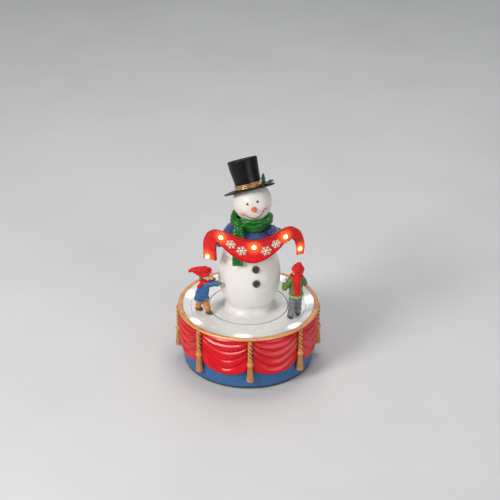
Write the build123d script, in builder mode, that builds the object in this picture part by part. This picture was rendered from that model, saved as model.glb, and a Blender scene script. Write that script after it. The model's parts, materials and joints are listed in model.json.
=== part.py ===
"""Battery powered, lit and animated snowman podium, in millimetres.

A round drum with a swag curtain carries a fixed snowman. Two children ride a geared turntable that
circles the snowman's feet. The origin is under the middle of the drum, on the surface it stands on:
+Z is up and -Y is the front.
"""
from build123d import *
import math
import os

os.makedirs("parts", exist_ok=True)

# Overall sizes
rim_radius = 75.0
platform_height = 62.1
neck_height = 102.8          # above the platform

# Fits and clearances
running_clearance = 0.06
screw_clearance = 0.3
part_gap = 0.4
trim_gap = 0.15

# Drum and cover
foot_height = 1.2
foot_radius = 5.0
foot_circle = rim_radius - 18.0
drum_top_radius = rim_radius - 3.5
drum_foot_radius = drum_top_radius - 2.0
cover_thickness = 2.2
cover_radius = drum_foot_radius - 0.5
shell_wall = 2.2
spigot_height = 3.6
spigot_wall = 2.0
boss_radius = 4.5
boss_count = 4
boss_first_angle = 45.0
rim_width = 5.3
rim_height = 2.6
rim_drop = 0.6
rim_rounding = 1.2

# Curtain and tassels
swag_count = 8
swag_first_angle = -88.5
curtain_thickness = 2.0
curtain_low = platform_height - 45.2
curtain_cusp = platform_height - 36.7
cusp_half_width = 15.0
tassel_circle = rim_radius - 0.6
rope_radius = 2.1
ball_radius = 3.8
ball_height = platform_height - 28.2
skirt_low = platform_height - 48.6
skirt_radius = 3.95
skirt_neck_radius = 2.7

# Platform rings
disc_radius = 41.8
disc_gap = 0.7
ring_outer_radius = rim_radius - 14.2
sheet_thickness = 2.0
cove_rise = 1.7
cove_skirt = 0.9
ledge_height = platform_height - 7.7
ledge_thickness = 2.0
ledge_inner_radius = rim_radius - 12.5
board_thickness = 1.0
rim_led_count = 7
rim_led_circle = rim_radius - 8.5
rim_led_radius = 1.5
rim_led_height = 0.4         # of the dome centres, above the platform
rim_led_first_angle = -95.0

# Chassis, post and turntable
chassis_height = 35.5
chassis_thickness = 2.5
post_radius = 10.0
post_bore_radius = 7.0
shoulder_radius = 16.0
shoulder_height = 5.2
washer_radius = 14.0
washer_thickness = 0.8
hub_wall = 3.0
hub_lift = 0.5
ring_wall_radius = 45.0
ring_lip_depth = 4.2

# Gear train
gear_module = 0.8
pressure_angle = 25.0
addendum = 0.60
dedendum = 0.76
backlash = 0.14
centre_extra = 0.08
turntable_teeth = 72
small_teeth = 14
wheel_teeth = 36
pinion_teeth = 12
gear_thickness = 4.0
gear_bore_radius = 20.0
wheel_thickness = 3.5
wheel_lift = 2.0
axle_radius = 1.5
reduction_angle = 180.0
pinion_angle = -90.0

# Screws
screw_radius = 1.2
screw_head_radius = 2.7
screw_head_height = 1.2
small_screw_radius = 1.0
small_head_radius = 2.0
screw_length = 9.0
gearbox_screw_depth = 6.0
post_screw_circle = 12.5
disc_screw_circle = 8.5
gear_screw_circle = 24.0

# Gearbox and motor
gearbox_length = 26.0
gearbox_width = 22.0
gearbox_height = 11.5
motor_radius = 7.4
motor_length = 25.0
motor_shaft_drop = 8.0
motor_boss_radius = 3.0
motor_boss_length = 1.8
pinion_shaft_depth = 5.5

# Batteries, door, switch and board
cell_radius = 7.1
cell_length = 50.5
cell_pitch = 14.6
cell_nub_radius = 2.6
cell_nub_length = 1.2
cell_count = 3
contact_room = 3.6
contact_thickness = 0.4
contact_reach = 5.0
spring_radius = 2.2
spring_bore_radius = 1.4
bay_wall = 1.6
bay_roof = 1.8
door_gap = 0.3
hinge_pin_radius = 0.5
hinge_pin_grip = 3.0
door_tab_width = 10.0
door_tab_length = 9.0
door_screw_clearance = 0.6
door_boss_height = 6.0
switch_x = 42.0
switch_y = 16.0
switch_travel = 4.0
knob_size = 3.6
knob_recess = 0.4
knob_reach = 2.1
switch_wall = 1.5
switch_height = 5.0
board_length = 44.0
board_width = 30.0
board_sheet = 1.2
chip_size = 9.0
chip_height = 2.0
capacitor_radius = 2.5
capacitor_height = 6.5
plug_length = 6.0
plug_width = 4.0
plug_height = 3.5
standoff_height = 2.0
standoff_radius = 2.0

# Snowman, with heights measured from the platform
body_x = 1.1
body_radius = 33.3
body_widest = 39.0
waist_radius = 25.2
waist_height = 8.5
chest_radius = 26.8
chest_height = 65.0
shoulder_rise = 96.5
shoulder_ledge = 4.0
mound_radius = 31.3
mound_height = 3.5
neck_radius = 10.5
jacket_thickness = 1.8
jacket_hem = 77.8
lead_radius = 1.0
lead_channel = 0.5
lead_end_gap = 0.3
lead_exit_rise = 82.8
sleeve_radius = 6.4
wrist_radius = 5.2
cuff_radius = 5.8
cuff_length = 3.4
mitten_radius = 5.0
button_radius = 4.1
button_height = 1.8
button_sink = 3.0
head_radius = 20.3
head_x = 4.3
head_tilt_back = 22.0
head_tilt_side = 14.0
head_sink = 1.2
eye_radius = 1.2
eye_angle = 15.0
nose_radius = 3.0
nose_length = 5.6
nose_tip_radius = 1.2
hat_seat = head_radius - 8.0
brim_radius = 27.0
brim_thickness = 1.6
crown_foot_radius = 13.9
crown_top_radius = 15.6
crown_height = 30.7
band_thickness = 1.0
band_height = 4.8
band_lift = 0.9
leaf_thickness = 0.8
berry_radius = 1.3
berry_circle = 17.2
berry_gap = 0.2
scarf_x = 3.3
scarf_radius = 22.6
tail_width = 11.0
tail_x = -10.5
tail_thickness = 2.0

# Banner
banner_x = 6.0
banner_front = 38.0
banner_bend_radius = 75.0
banner_thickness = 2.4
banner_led_radius = 2.0
banner_led_gap = 0.05

# Children on the turntable
child_head_radius = 6.3
shoe_radius = 2.6

# Heights and radii that follow
cover_top = foot_height + cover_thickness
drum_top = platform_height - rim_drop
shell_inner_radius = drum_foot_radius - shell_wall
boss_circle = shell_inner_radius - boss_radius + part_gap
chassis_top = chassis_height + chassis_thickness
shoulder_top = chassis_top + shoulder_height
hub_bottom = shoulder_top + washer_thickness + 0.1
disc_bottom = platform_height - sheet_thickness - 0.3
hub_radius = post_radius + running_clearance
gear_bottom = hub_bottom + part_gap
gear_top = gear_bottom + gear_thickness
wheel_bottom = chassis_top + wheel_lift
cavity_radius = rim_radius - rim_width
gearbox_bottom = chassis_height - gearbox_height
bay_x = cell_pitch * cell_count + 1.2
bay_y = cell_length + 2 * contact_room
cell_height = cover_top + part_gap + cell_radius
bay_top = cell_height + cell_radius + part_gap
neck_top = platform_height + neck_height
head_centre = Vector(head_x, 0, neck_top + head_radius - head_sink)
head_place = Plane(Location(tuple(head_centre), (-head_tilt_back, -head_tilt_side, 0)))
boss_angles = [boss_first_angle + 360 / boss_count * i for i in range(boss_count)]
swag_angles = [swag_first_angle + 360 / swag_count * i for i in range(swag_count)]
rim_led_angles = [rim_led_first_angle + 360 / rim_led_count * i for i in range(rim_led_count)]


def save(builder, name):
    """Label a finished piece and write its STEP file."""
    builder.part.label = name
    export_step(builder.part, f"parts/{name}.step")


def polar(radius, angle, height=0.0):
    """Point at a radius and an angle in degrees from +X."""
    turn = math.radians(angle)
    return Vector(radius * math.cos(turn), radius * math.sin(turn), height)


def ring(outer, inner, low, high):
    """Plain ring about the Z axis, added to the part being built."""
    with BuildSketch(Plane.XY.offset(low)) as section:
        Circle(outer)
        Circle(inner, mode=Mode.SUBTRACT)
    extrude(section.sketch, amount=high - low)


def rod(radius, low, high, centres, mode=Mode.ADD):
    """Upright rods between two heights at the given centres."""
    with BuildSketch(Plane.XY.offset(low)) as section:
        with Locations(*centres):
            Circle(radius)
    extrude(section.sketch, amount=high - low, mode=mode)


def block(size_x, size_y, low, high, centre=(0, 0), mode=Mode.ADD):
    """Upright block between two heights."""
    with BuildSketch(Plane.XY.offset(low)) as section:
        with Locations(centre):
            Rectangle(size_x, size_y)
    extrude(section.sketch, amount=high - low, mode=mode)


def turned(points):
    """Revolve a closed outline of (radius, height) points about the Z axis."""
    with BuildSketch(Plane.XZ) as section:
        with BuildLine():
            Polyline(*points, close=True)
        make_face()
    revolve(section.sketch, axis=Axis.Z)


def limb(start, end, start_radius, end_radius):
    """Tapered limb with round ends, added to the part being built."""
    axis = Vector(*end) - Vector(*start)
    sections = []
    for centre, radius in ((start, start_radius), (end, end_radius)):
        with BuildSketch(Plane(origin=centre, z_dir=axis)) as section:
            Circle(radius)
        sections.append(section.sketch.face())
        with Locations(centre):
            Sphere(radius)
    loft(sections)


def circle_points(radius, angles):
    """Centres spread on a circle, as (x, y) pairs."""
    return [(polar(radius, angle).X, polar(radius, angle).Y) for angle in angles]


def drum_radius(height):
    """Outer radius of the tapered drum wall at a height."""
    share = (height - cover_top) / (drum_top - cover_top)
    return drum_foot_radius + (drum_top_radius - drum_foot_radius) * share


# ---------------------------------------------------------------- gears

def tooth_half_angle(teeth, radius):
    """Half the angle that an involute tooth takes up at a radius, in radians."""
    pitch_radius = gear_module * teeth / 2
    base_radius = pitch_radius * math.cos(math.radians(pressure_angle))
    at_pitch = math.radians(pressure_angle)
    at_radius = math.acos(min(1.0, base_radius / radius))
    half_pitch = (math.pi * gear_module / 2 - backlash / 2) / (2 * pitch_radius)
    opening = (math.tan(at_pitch) - at_pitch) - (math.tan(at_radius) - at_radius)
    return half_pitch + opening


def gear_outline(teeth, phase):
    """Outline of a spur gear with its first tooth centred at an angle in degrees."""
    pitch_radius = gear_module * teeth / 2
    base_radius = pitch_radius * math.cos(math.radians(pressure_angle))
    root_radius = pitch_radius - dedendum
    tip_radius = pitch_radius + addendum
    flank_radius = max(base_radius, root_radius)
    middle_radius = (flank_radius + tip_radius) / 2
    pitch = 360 / teeth

    def flank_point(radius, side, centre):
        return polar(radius, centre + side * math.degrees(tooth_half_angle(teeth, radius)))

    for tooth in range(teeth):
        centre = phase + tooth * pitch
        foot_angle = math.degrees(tooth_half_angle(teeth, flank_radius))
        for side in (-1, 1):
            flank = [flank_point(r, side, centre) for r in (flank_radius, middle_radius, tip_radius)]
            ThreePointArc(*flank)
            if root_radius < base_radius:
                Line(polar(root_radius, centre + side * foot_angle), flank[0])
        tip = [flank_point(tip_radius, side, centre) for side in (-1, 1)]
        ThreePointArc(tip[0], polar(tip_radius, centre), tip[1])
        root_start = polar(root_radius, centre + foot_angle)
        root_end = polar(root_radius, centre + pitch - foot_angle)
        ThreePointArc(root_start, polar(root_radius, centre + pitch / 2), root_end)


def add_gear(teeth, phase, low, high, centre=(0, 0)):
    """Spur gear added to the part being built, its place given by its plane."""
    with BuildSketch(Plane((centre[0], centre[1], low))) as section:
        with BuildLine():
            gear_outline(teeth, phase)
        make_face()
    extrude(section.sketch, amount=high - low)


def mesh_phase(teeth, phase, direction, other_teeth):
    """Phase of a gear in mesh with another that lies in a direction from it."""
    share = ((direction - phase) * teeth / 360) % 1.0
    return direction + 180 - (0.5 - share) * 360 / other_teeth


large_distance = gear_module * (turntable_teeth + small_teeth) / 2 + centre_extra
small_distance = gear_module * (wheel_teeth + pinion_teeth) / 2 + centre_extra
reduction_centre = polar(large_distance, reduction_angle)
pinion_centre = reduction_centre + polar(small_distance, pinion_angle)
reduction_xy = (reduction_centre.X, reduction_centre.Y)
pinion_xy = (pinion_centre.X, pinion_centre.Y)
small_phase = mesh_phase(turntable_teeth, 0.0, reduction_angle, small_teeth)
pinion_phase = mesh_phase(wheel_teeth, 0.0, pinion_angle, pinion_teeth)

# ---------------------------------------------------------------- drum

with BuildPart() as base_shell:
    turned([
        (drum_foot_radius, cover_top),
        (drum_top_radius, drum_top),
        (cavity_radius, drum_top),
        (cavity_radius, ledge_height),
        (ledge_inner_radius, ledge_height),
        (ledge_inner_radius, ledge_height - ledge_thickness),
        (shell_inner_radius, ledge_height - ledge_thickness),
        (shell_inner_radius, cover_top),
    ])
    rod(boss_radius, cover_top, chassis_height, circle_points(boss_circle, boss_angles))
    for low in (cover_top, chassis_height - screw_length):
        rod(screw_radius, low, low + screw_length, circle_points(boss_circle, boss_angles), Mode.SUBTRACT)
save(base_shell, "base_shell")

with BuildPart() as gold_rim:
    with BuildSketch(Plane.XZ):
        with Locations((rim_radius - rim_width / 2, drum_top + rim_height / 2)):
            RectangleRounded(rim_width, rim_height, rim_rounding)
    revolve(axis=Axis.Z)
save(gold_rim, "gold_rim")


def tassel_shape(gap):
    """One tassel on the Z axis, rope, ball and skirt, grown by a gap."""
    with BuildPart() as one_tassel:
        with BuildSketch(Plane.XZ):
            with BuildLine():
                Polyline(
                    (0, skirt_low - gap),
                    (skirt_radius + gap, skirt_low - gap),
                    (skirt_neck_radius + gap, ball_height),
                    (rope_radius + gap, ball_height),
                    (rope_radius + gap, drum_top),
                    (0, drum_top),
                    close=True,
                )
            make_face()
            with Locations((0, ball_height)):
                Circle(ball_radius + gap)
            with Locations((-ball_radius * 2, ball_height)):
                Rectangle(ball_radius * 4, ball_radius * 4, mode=Mode.SUBTRACT)
        revolve(axis=Axis.Z)
    return one_tassel.part


tassel_places = [polar(tassel_circle, angle) for angle in swag_angles]
tassel_solid = tassel_shape(0.0)
tassel_groove = tassel_shape(trim_gap)

with BuildPart() as tassels:
    with Locations(*tassel_places):
        add(tassel_solid)
save(tassels, "tassels")

with BuildPart() as swag_curtain:
    turned([
        (drum_radius(curtain_low), curtain_low),
        (drum_radius(curtain_low) + curtain_thickness, curtain_low),
        (drum_top_radius + curtain_thickness, drum_top),
        (drum_top_radius, drum_top),
    ])
    for angle in swag_angles:
        outward = polar(1, angle)
        inside_wall = polar(drum_foot_radius - 5, angle)
        with BuildSketch(Plane(inside_wall, x_dir=polar(1, angle + 90), z_dir=outward)):
            with BuildLine():
                low = curtain_low - 1
                Line((-cusp_half_width, low), (cusp_half_width, low))
                for side in (-1, 1):
                    middle = (side * cusp_half_width * 0.4, curtain_low + (curtain_cusp - curtain_low) * 0.4)
                    ThreePointArc((side * cusp_half_width, low), middle, (0, curtain_cusp))
            make_face()
        extrude(amount=15, mode=Mode.SUBTRACT)
    with Locations(*tassel_places):
        add(tassel_groove, mode=Mode.SUBTRACT)
save(swag_curtain, "swag_curtain")

# ---------------------------------------------------------------- platform edge

cove_inner_radius = ring_outer_radius + part_gap
cove_outer_radius = cavity_radius - 0.1

with BuildPart() as snow_cove:
    with BuildSketch(Plane.XZ):
        with BuildLine():
            top = Spline(
                (cove_inner_radius, platform_height),
                (rim_led_circle - 1.5, platform_height + cove_rise * 0.3),
                (cove_outer_radius, platform_height + cove_rise),
                tangents=((1, 0), (0.85, 0.5)),
            )
            Polyline(
                top @ 1,
                (cove_outer_radius, ledge_height),
                (cove_outer_radius - cove_skirt, ledge_height),
                (cove_outer_radius - cove_skirt, platform_height - sheet_thickness),
                (cove_inner_radius, platform_height - sheet_thickness),
                top @ 0,
            )
        make_face()
    revolve(axis=Axis.Z)
    led_places = circle_points(rim_led_circle, rim_led_angles)
    rod(rim_led_radius + trim_gap, ledge_height, platform_height + 2 * cove_rise, led_places, Mode.SUBTRACT)
save(snow_cove, "snow_cove")

with BuildPart() as led_ring_board:
    board_outer = cove_outer_radius - cove_skirt - trim_gap
    ring(board_outer, ledge_inner_radius + trim_gap, ledge_height, ledge_height + board_thickness)
save(led_ring_board, "led_ring_board")

with BuildPart() as rim_leds:
    rod(rim_led_radius, ledge_height + board_thickness, platform_height + rim_led_height, led_places)
    with Locations(*[polar(rim_led_circle, angle, platform_height + rim_led_height) for angle in rim_led_angles]):
        Sphere(rim_led_radius)
save(rim_leds, "rim_leds")

# ---------------------------------------------------------------- chassis and post

post_screws_at = circle_points(post_screw_circle, (30, 150, 270))
disc_screws_at = circle_points(disc_screw_circle, (90, 210, 330))
gearbox_screws_at = [(pinion_xy[0] + side * gearbox_length * 0.38, pinion_xy[1] - 5) for side in (-1, 1)]

with BuildPart() as chassis_plate:
    rod(shell_inner_radius - part_gap, chassis_height, chassis_top, [(0, 0)])
    through = (chassis_height, chassis_top)
    rod(post_bore_radius, *through, [(0, 0)], Mode.SUBTRACT)
    rod(screw_radius + screw_clearance, *through, circle_points(boss_circle, boss_angles), Mode.SUBTRACT)
    rod(small_screw_radius, *through, post_screws_at + gearbox_screws_at, Mode.SUBTRACT)
    rod(axle_radius, *through, [reduction_xy], Mode.SUBTRACT)
    rod(axle_radius * 2, *through, [pinion_xy], Mode.SUBTRACT)
save(chassis_plate, "chassis_plate")

with BuildPart() as chassis_screws:
    at = circle_points(boss_circle, boss_angles)
    rod(screw_radius, chassis_height - screw_length, chassis_top, at)
    rod(screw_head_radius, chassis_top, chassis_top + screw_head_height, at)
save(chassis_screws, "chassis_screws")

with BuildPart() as centre_post:
    rod(shoulder_radius, chassis_top, shoulder_top, [(0, 0)])
    rod(post_radius, chassis_top, disc_bottom, [(0, 0)])
    rod(post_bore_radius, chassis_top, disc_bottom, [(0, 0)], Mode.SUBTRACT)
    rod(small_screw_radius, chassis_top, shoulder_top - 1.0, post_screws_at, Mode.SUBTRACT)
    rod(small_screw_radius, disc_bottom - screw_length, disc_bottom, disc_screws_at, Mode.SUBTRACT)
save(centre_post, "centre_post")

with BuildPart() as thrust_washer:
    ring(washer_radius, post_radius + 0.1, shoulder_top, shoulder_top + washer_thickness)
save(thrust_washer, "thrust_washer")

with BuildPart() as snow_disc:
    rod(disc_radius, disc_bottom, platform_height, [(0, 0)])
    rod(lead_radius + 2.0, disc_bottom, platform_height, [(0, 0)], Mode.SUBTRACT)
    rod(small_screw_radius, disc_bottom, platform_height, disc_screws_at, Mode.SUBTRACT)
    recess = platform_height - screw_head_height
    rod(small_head_radius + 0.1, recess, platform_height, disc_screws_at, Mode.SUBTRACT)
save(snow_disc, "snow_disc")

with BuildPart() as post_screws:
    rod(small_screw_radius, chassis_height, shoulder_top - 1.0, post_screws_at)
    rod(small_head_radius, chassis_height - screw_head_height, chassis_height, post_screws_at)
    rod(small_screw_radius, disc_bottom - screw_length, platform_height - 0.1, disc_screws_at)
    rod(small_head_radius, recess, platform_height - 0.1, disc_screws_at)
save(post_screws, "post_screws")

# ---------------------------------------------------------------- turntable

ring_inner_radius = disc_radius + disc_gap
gear_screws_at = circle_points(gear_screw_circle, (0, 120, 240))
web_top = gear_top + sheet_thickness

with BuildPart() as turntable:
    turned([
        (hub_radius, hub_bottom),
        (hub_radius + hub_wall, hub_bottom),
        (hub_radius + hub_wall, gear_top),
        (ring_wall_radius, gear_top),
        (ring_wall_radius, platform_height - sheet_thickness),
        (ring_outer_radius - sheet_thickness, platform_height - sheet_thickness),
        (ring_outer_radius - sheet_thickness, platform_height - ring_lip_depth),
        (ring_outer_radius, platform_height - ring_lip_depth),
        (ring_outer_radius, platform_height),
        (ring_inner_radius, platform_height),
        (ring_inner_radius, web_top),
        (hub_radius + hub_wall, web_top),
        (hub_radius + hub_wall, disc_bottom - hub_lift),
        (hub_radius, disc_bottom - hub_lift),
    ])
    rod(small_screw_radius, gear_top, web_top, gear_screws_at, Mode.SUBTRACT)
save(turntable, "turntable")

with BuildPart() as turntable_gear:
    add_gear(turntable_teeth, 0.0, gear_bottom, gear_top)
    rod(gear_bore_radius, gear_bottom, gear_top, [(0, 0)], Mode.SUBTRACT)
    rod(small_screw_radius, gear_bottom, gear_top, gear_screws_at, Mode.SUBTRACT)
    head_room = gear_bottom + screw_head_height + screw_clearance
    rod(small_head_radius + 0.1, gear_bottom, head_room, gear_screws_at, Mode.SUBTRACT)
save(turntable_gear, "turntable_gear")

with BuildPart() as gear_screws:
    rod(small_screw_radius, head_room, web_top, gear_screws_at)
    rod(small_head_radius, head_room - screw_head_height, head_room, gear_screws_at)
save(gear_screws, "gear_screws")

with BuildPart() as reduction_gear:
    add_gear(wheel_teeth, 0.0, wheel_bottom, wheel_bottom + wheel_thickness, reduction_xy)
    add_gear(small_teeth, small_phase, wheel_bottom + wheel_thickness, gear_top - part_gap, reduction_xy)
    rod(axle_radius + part_gap, chassis_top + 0.1, wheel_bottom, [reduction_xy])
    rod(axle_radius + running_clearance, chassis_top, gear_top, [reduction_xy], Mode.SUBTRACT)
save(reduction_gear, "reduction_gear")

with BuildPart() as gear_axle:
    rod(axle_radius, chassis_height, gear_top - part_gap, [reduction_xy])
save(gear_axle, "gear_axle")

with BuildPart() as drive_pinion:
    add_gear(pinion_teeth, pinion_phase, wheel_bottom, wheel_bottom + wheel_thickness, pinion_xy)
    rod(axle_radius, gearbox_bottom + pinion_shaft_depth + part_gap, wheel_bottom, [pinion_xy])
save(drive_pinion, "drive_pinion")

with BuildPart() as gearbox_case:
    with BuildSketch(Plane.XY.offset(gearbox_bottom)):
        with Locations(pinion_xy):
            RectangleRounded(gearbox_length, gearbox_width, 3.0)
    extrude(amount=gearbox_height)
    bearing = axle_radius + running_clearance
    rod(bearing, gearbox_bottom + pinion_shaft_depth, chassis_height, [pinion_xy], Mode.SUBTRACT)
    rod(small_screw_radius, chassis_height - gearbox_screw_depth, chassis_height, gearbox_screws_at, Mode.SUBTRACT)
save(gearbox_case, "gearbox_case")

with BuildPart() as gearbox_screws:
    rod(small_screw_radius, chassis_height - gearbox_screw_depth, chassis_top, gearbox_screws_at)
    rod(small_head_radius, chassis_top, chassis_top + screw_head_height, gearbox_screws_at)
save(gearbox_screws, "gearbox_screws")

motor_face = pinion_xy[1] + gearbox_width / 2
motor_height = chassis_height - motor_shaft_drop

with BuildPart() as drive_motor:
    with BuildSketch(Plane((pinion_xy[0], motor_face, motor_height), x_dir=(1, 0, 0), z_dir=(0, 1, 0))):
        Circle(motor_radius)
        Rectangle(motor_radius * 2, motor_radius * 1.6, mode=Mode.INTERSECT)
    extrude(amount=motor_length)
    with BuildSketch(Plane((pinion_xy[0], motor_face + motor_length, motor_height), z_dir=(0, 1, 0))):
        Circle(motor_boss_radius)
    extrude(amount=motor_boss_length)
save(drive_motor, "drive_motor")

# ---------------------------------------------------------------- bottom cover and batteries

door_axis_y = bay_y / 2 - door_gap - cover_thickness / 2
door_axis_z = foot_height + cover_thickness / 2
door_free_end = -bay_y / 2
tab_end = door_free_end - door_tab_length
door_screw_y = tab_end + door_tab_length / 2
boss_top = cover_top + door_boss_height
feet_at = circle_points(foot_circle, (0, 90, 180, 270))
cell_rows = [(i - (cell_count - 1) / 2) * cell_pitch for i in range(cell_count)]
board_corners = [(x * board_width * 0.42, y * board_length * 0.44) for x in (-1, 1) for y in (-1, 1)]

slot_centre = (switch_x, switch_y + switch_travel / 2)
slot_size = (knob_size + 1.0, knob_size + switch_travel + 1.4)

with BuildPart() as bottom_cover:
    rod(cover_radius, foot_height, cover_top, [(0, 0)])
    ring(shell_inner_radius - part_gap, shell_inner_radius - part_gap - spigot_wall, cover_top,
         cover_top + spigot_height)
    rod(boss_radius + part_gap, cover_top, cover_top + spigot_height,
        circle_points(boss_circle, boss_angles), Mode.SUBTRACT)
    block(bay_x + 2 * bay_wall, bay_y + 2 * bay_wall, cover_top, bay_top + bay_roof)
    block(door_tab_width - 1.0, door_tab_length, cover_top, boss_top, (0, door_screw_y))
    rod(standoff_radius, bay_top + bay_roof, bay_top + bay_roof + standoff_height, board_corners)
    block(bay_x, bay_y, foot_height, bay_top, mode=Mode.SUBTRACT)
    block(door_tab_width + 2 * door_gap, door_tab_length + door_gap, foot_height, cover_top,
          (0, door_screw_y - door_gap / 2), Mode.SUBTRACT)
    screw_room = small_screw_radius + door_screw_clearance
    rod(screw_room, cover_top, boss_top - 1.0, [(0, door_screw_y)], Mode.SUBTRACT)
    rod(screw_radius, foot_height, cover_top, circle_points(boss_circle, boss_angles), Mode.SUBTRACT)
    rod(screw_head_radius + 0.2, foot_height, foot_height + screw_head_height,
        circle_points(boss_circle, boss_angles), Mode.SUBTRACT)
    block(*slot_size, foot_height, cover_top, slot_centre, Mode.SUBTRACT)
    with BuildSketch(Plane((-bay_x / 2 - hinge_pin_grip, door_axis_y, door_axis_z), z_dir=(1, 0, 0))):
        Circle(hinge_pin_radius)
    extrude(amount=bay_x + 2 * hinge_pin_grip, mode=Mode.SUBTRACT)
save(bottom_cover, "bottom_cover")

with BuildPart() as door_hinge_pin:
    with BuildSketch(Plane((-bay_x / 2 - hinge_pin_grip, door_axis_y, door_axis_z), z_dir=(1, 0, 0))):
        Circle(hinge_pin_radius)
    extrude(amount=bay_x + 2 * hinge_pin_grip)
save(door_hinge_pin, "door_hinge_pin")

with BuildPart() as battery_door:
    door_length = door_axis_y - door_free_end - door_gap
    block(bay_x - 2 * door_gap, door_length, foot_height, cover_top, (0, door_axis_y - door_length / 2))
    with BuildSketch(Plane((-bay_x / 2 + door_gap, door_axis_y, door_axis_z), z_dir=(1, 0, 0))):
        Circle(cover_thickness / 2)
    extrude(amount=bay_x - 2 * door_gap)
    block(door_tab_width, door_tab_length + 1.0, foot_height, cover_top,
          (0, door_screw_y + 0.5))
    with BuildSketch(Plane((-bay_x / 2, door_axis_y, door_axis_z), z_dir=(1, 0, 0))):
        Circle(hinge_pin_radius + running_clearance)
    extrude(amount=bay_x, mode=Mode.SUBTRACT)
    rod(small_screw_radius, foot_height, cover_top, [(0, door_screw_y)], Mode.SUBTRACT)
    rod(small_head_radius, foot_height, foot_height + screw_head_height, [(0, door_screw_y)], Mode.SUBTRACT)
save(battery_door, "battery_door")

with BuildPart() as door_screw:
    rod(small_screw_radius, foot_height + screw_head_height, boss_top - 2.0, [(0, door_screw_y)])
    rod(small_head_radius, foot_height, foot_height + screw_head_height, [(0, door_screw_y)])
save(door_screw, "door_screw")

with BuildPart() as cover_screws:
    at = circle_points(boss_circle, boss_angles)
    rod(screw_radius, foot_height + screw_head_height, cover_top + screw_length, at)
    rod(screw_head_radius, foot_height, foot_height + screw_head_height, at)
save(cover_screws, "cover_screws")

with BuildPart() as rubber_feet:
    rod(foot_radius, 0, foot_height, feet_at)
save(rubber_feet, "rubber_feet")

with BuildPart() as aa_cells:
    for x in cell_rows:
        with BuildSketch(Plane((x, -cell_length / 2, cell_height), z_dir=(0, 1, 0))):
            Circle(cell_radius)
        extrude(amount=cell_length - cell_nub_length)
        with BuildSketch(Plane((x, cell_length / 2 - cell_nub_length, cell_height), z_dir=(0, 1, 0))):
            Circle(cell_nub_radius)
        extrude(amount=cell_nub_length)
save(aa_cells, "aa_cells")

with BuildPart() as battery_contacts:
    for x in cell_rows:
        for side in (-1, 1):
            plate_y = side * (bay_y / 2 - contact_thickness / 2)
            block(cell_radius * 1.5, contact_thickness, cell_height - contact_reach,
                  cell_height + contact_reach, (x, plate_y))
            spring_end = side * (cell_length / 2)
            with BuildSketch(Plane((x, spring_end, cell_height), z_dir=(0, side, 0))):
                Circle(spring_radius)
                Circle(spring_bore_radius, mode=Mode.SUBTRACT)
            extrude(amount=contact_room - contact_thickness)
save(battery_contacts, "battery_contacts")

switch_width = knob_size + 2 * switch_wall + 2.0

with BuildPart() as switch_body:
    block(switch_width, switch_width + switch_travel, cover_top, cover_top + switch_height, slot_centre)
    block(*slot_size, cover_top, cover_top + knob_reach + part_gap, slot_centre, Mode.SUBTRACT)
save(switch_body, "switch_body")

with BuildPart() as switch_knob:
    block(knob_size, knob_size, foot_height + knob_recess, cover_top + knob_reach, (switch_x, switch_y))
save(switch_knob, "switch_knob")

board_low = bay_top + bay_roof + standoff_height
board_top = board_low + board_sheet

with BuildPart() as control_board:
    block(board_width, board_length, board_low, board_top)
    rod(lead_radius + 0.2, board_low, board_top, [(0, 0)], Mode.SUBTRACT)
    block(chip_size, chip_size, board_top, board_top + chip_height, (7, 10))
    rod(capacitor_radius, board_top, board_top + capacitor_height, [(-8, 12)])
    block(plug_length, plug_width, board_top, board_top + plug_height, (-7, -14))
save(control_board, "control_board")

# ---------------------------------------------------------------- snowman

lead_exit_height = platform_height + lead_exit_rise
lead_reach = banner_front - banner_thickness - lead_end_gap
lead_path_points = ((0, 0, board_low), (0, 0, lead_exit_height), (0, -lead_reach, lead_exit_height))
lead_bend_radius = 0.45 * lead_reach


def lead_tube(radius, mode=Mode.ADD):
    """Tube along the lamp lead's route: up the hollow post, then forward to the banner."""
    with BuildLine(mode=Mode.PRIVATE) as route:
        FilletPolyline(*lead_path_points, radius=lead_bend_radius)
    with BuildSketch(Plane.XY.offset(board_low)) as section:
        Circle(radius)
    sweep(section.sketch, path=route.wire(), mode=mode)


with BuildPart() as led_lead:
    lead_tube(lead_radius)
save(led_lead, "led_lead")


def body_outline(grow):
    """Revolved outline of the snowman's body, grown sideways: mound, belly, waist and neck."""
    low = platform_height
    waist = Vector(waist_radius + grow, low + waist_height)
    chest = Vector(chest_radius + grow, low + chest_height)
    shoulder = Vector(neck_radius + shoulder_ledge + grow, low + shoulder_rise + grow)
    with BuildLine() as outline:
        mound = Spline(
            (mound_radius + grow, low),
            (mound_radius - 1.0 + grow, low + mound_height * 0.5),
            (waist_radius + 2.0 + grow, low + mound_height),
            waist,
        )
        ThreePointArc(waist, (body_radius + grow, low + body_widest), chest)
        ThreePointArc(chest, (chest_radius + 1.2 + grow, low + chest_height + 14), shoulder)
        Polyline(shoulder, (neck_radius, low + shoulder_rise + 1.0 + grow), (neck_radius, neck_top),
                 (0, neck_top), (0, low), mound @ 0)
    make_face(outline.edges())


with BuildPart() as snowman_body:
    with BuildSketch(Plane(origin=(body_x, 0, 0), x_dir=(1, 0, 0), z_dir=(0, -1, 0))):
        body_outline(0.0)
    revolve(axis=Axis((body_x, 0, 0), (0, 0, 1)))
    lead_tube(lead_radius + lead_channel, Mode.SUBTRACT)
save(snowman_body, "snowman_body")


def above(x, y, height):
    """Point at a height above the platform."""
    return Vector(x, y, platform_height + height)


bend_axis_y = banner_bend_radius - banner_front


def banner_point(x, height):
    """Point and outward normal of the banner's bent front face, at a height above the platform."""
    side = (x - banner_x) / banner_bend_radius
    normal = Vector(side, -math.sqrt(1 - side * side), 0)
    return above(banner_x, bend_axis_y, height) + normal * banner_bend_radius, normal


# Where each hand presses on the banner, as x and height above the platform
banner_grips = ((-31.0, 94.5), (42.0, 97.5))

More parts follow.
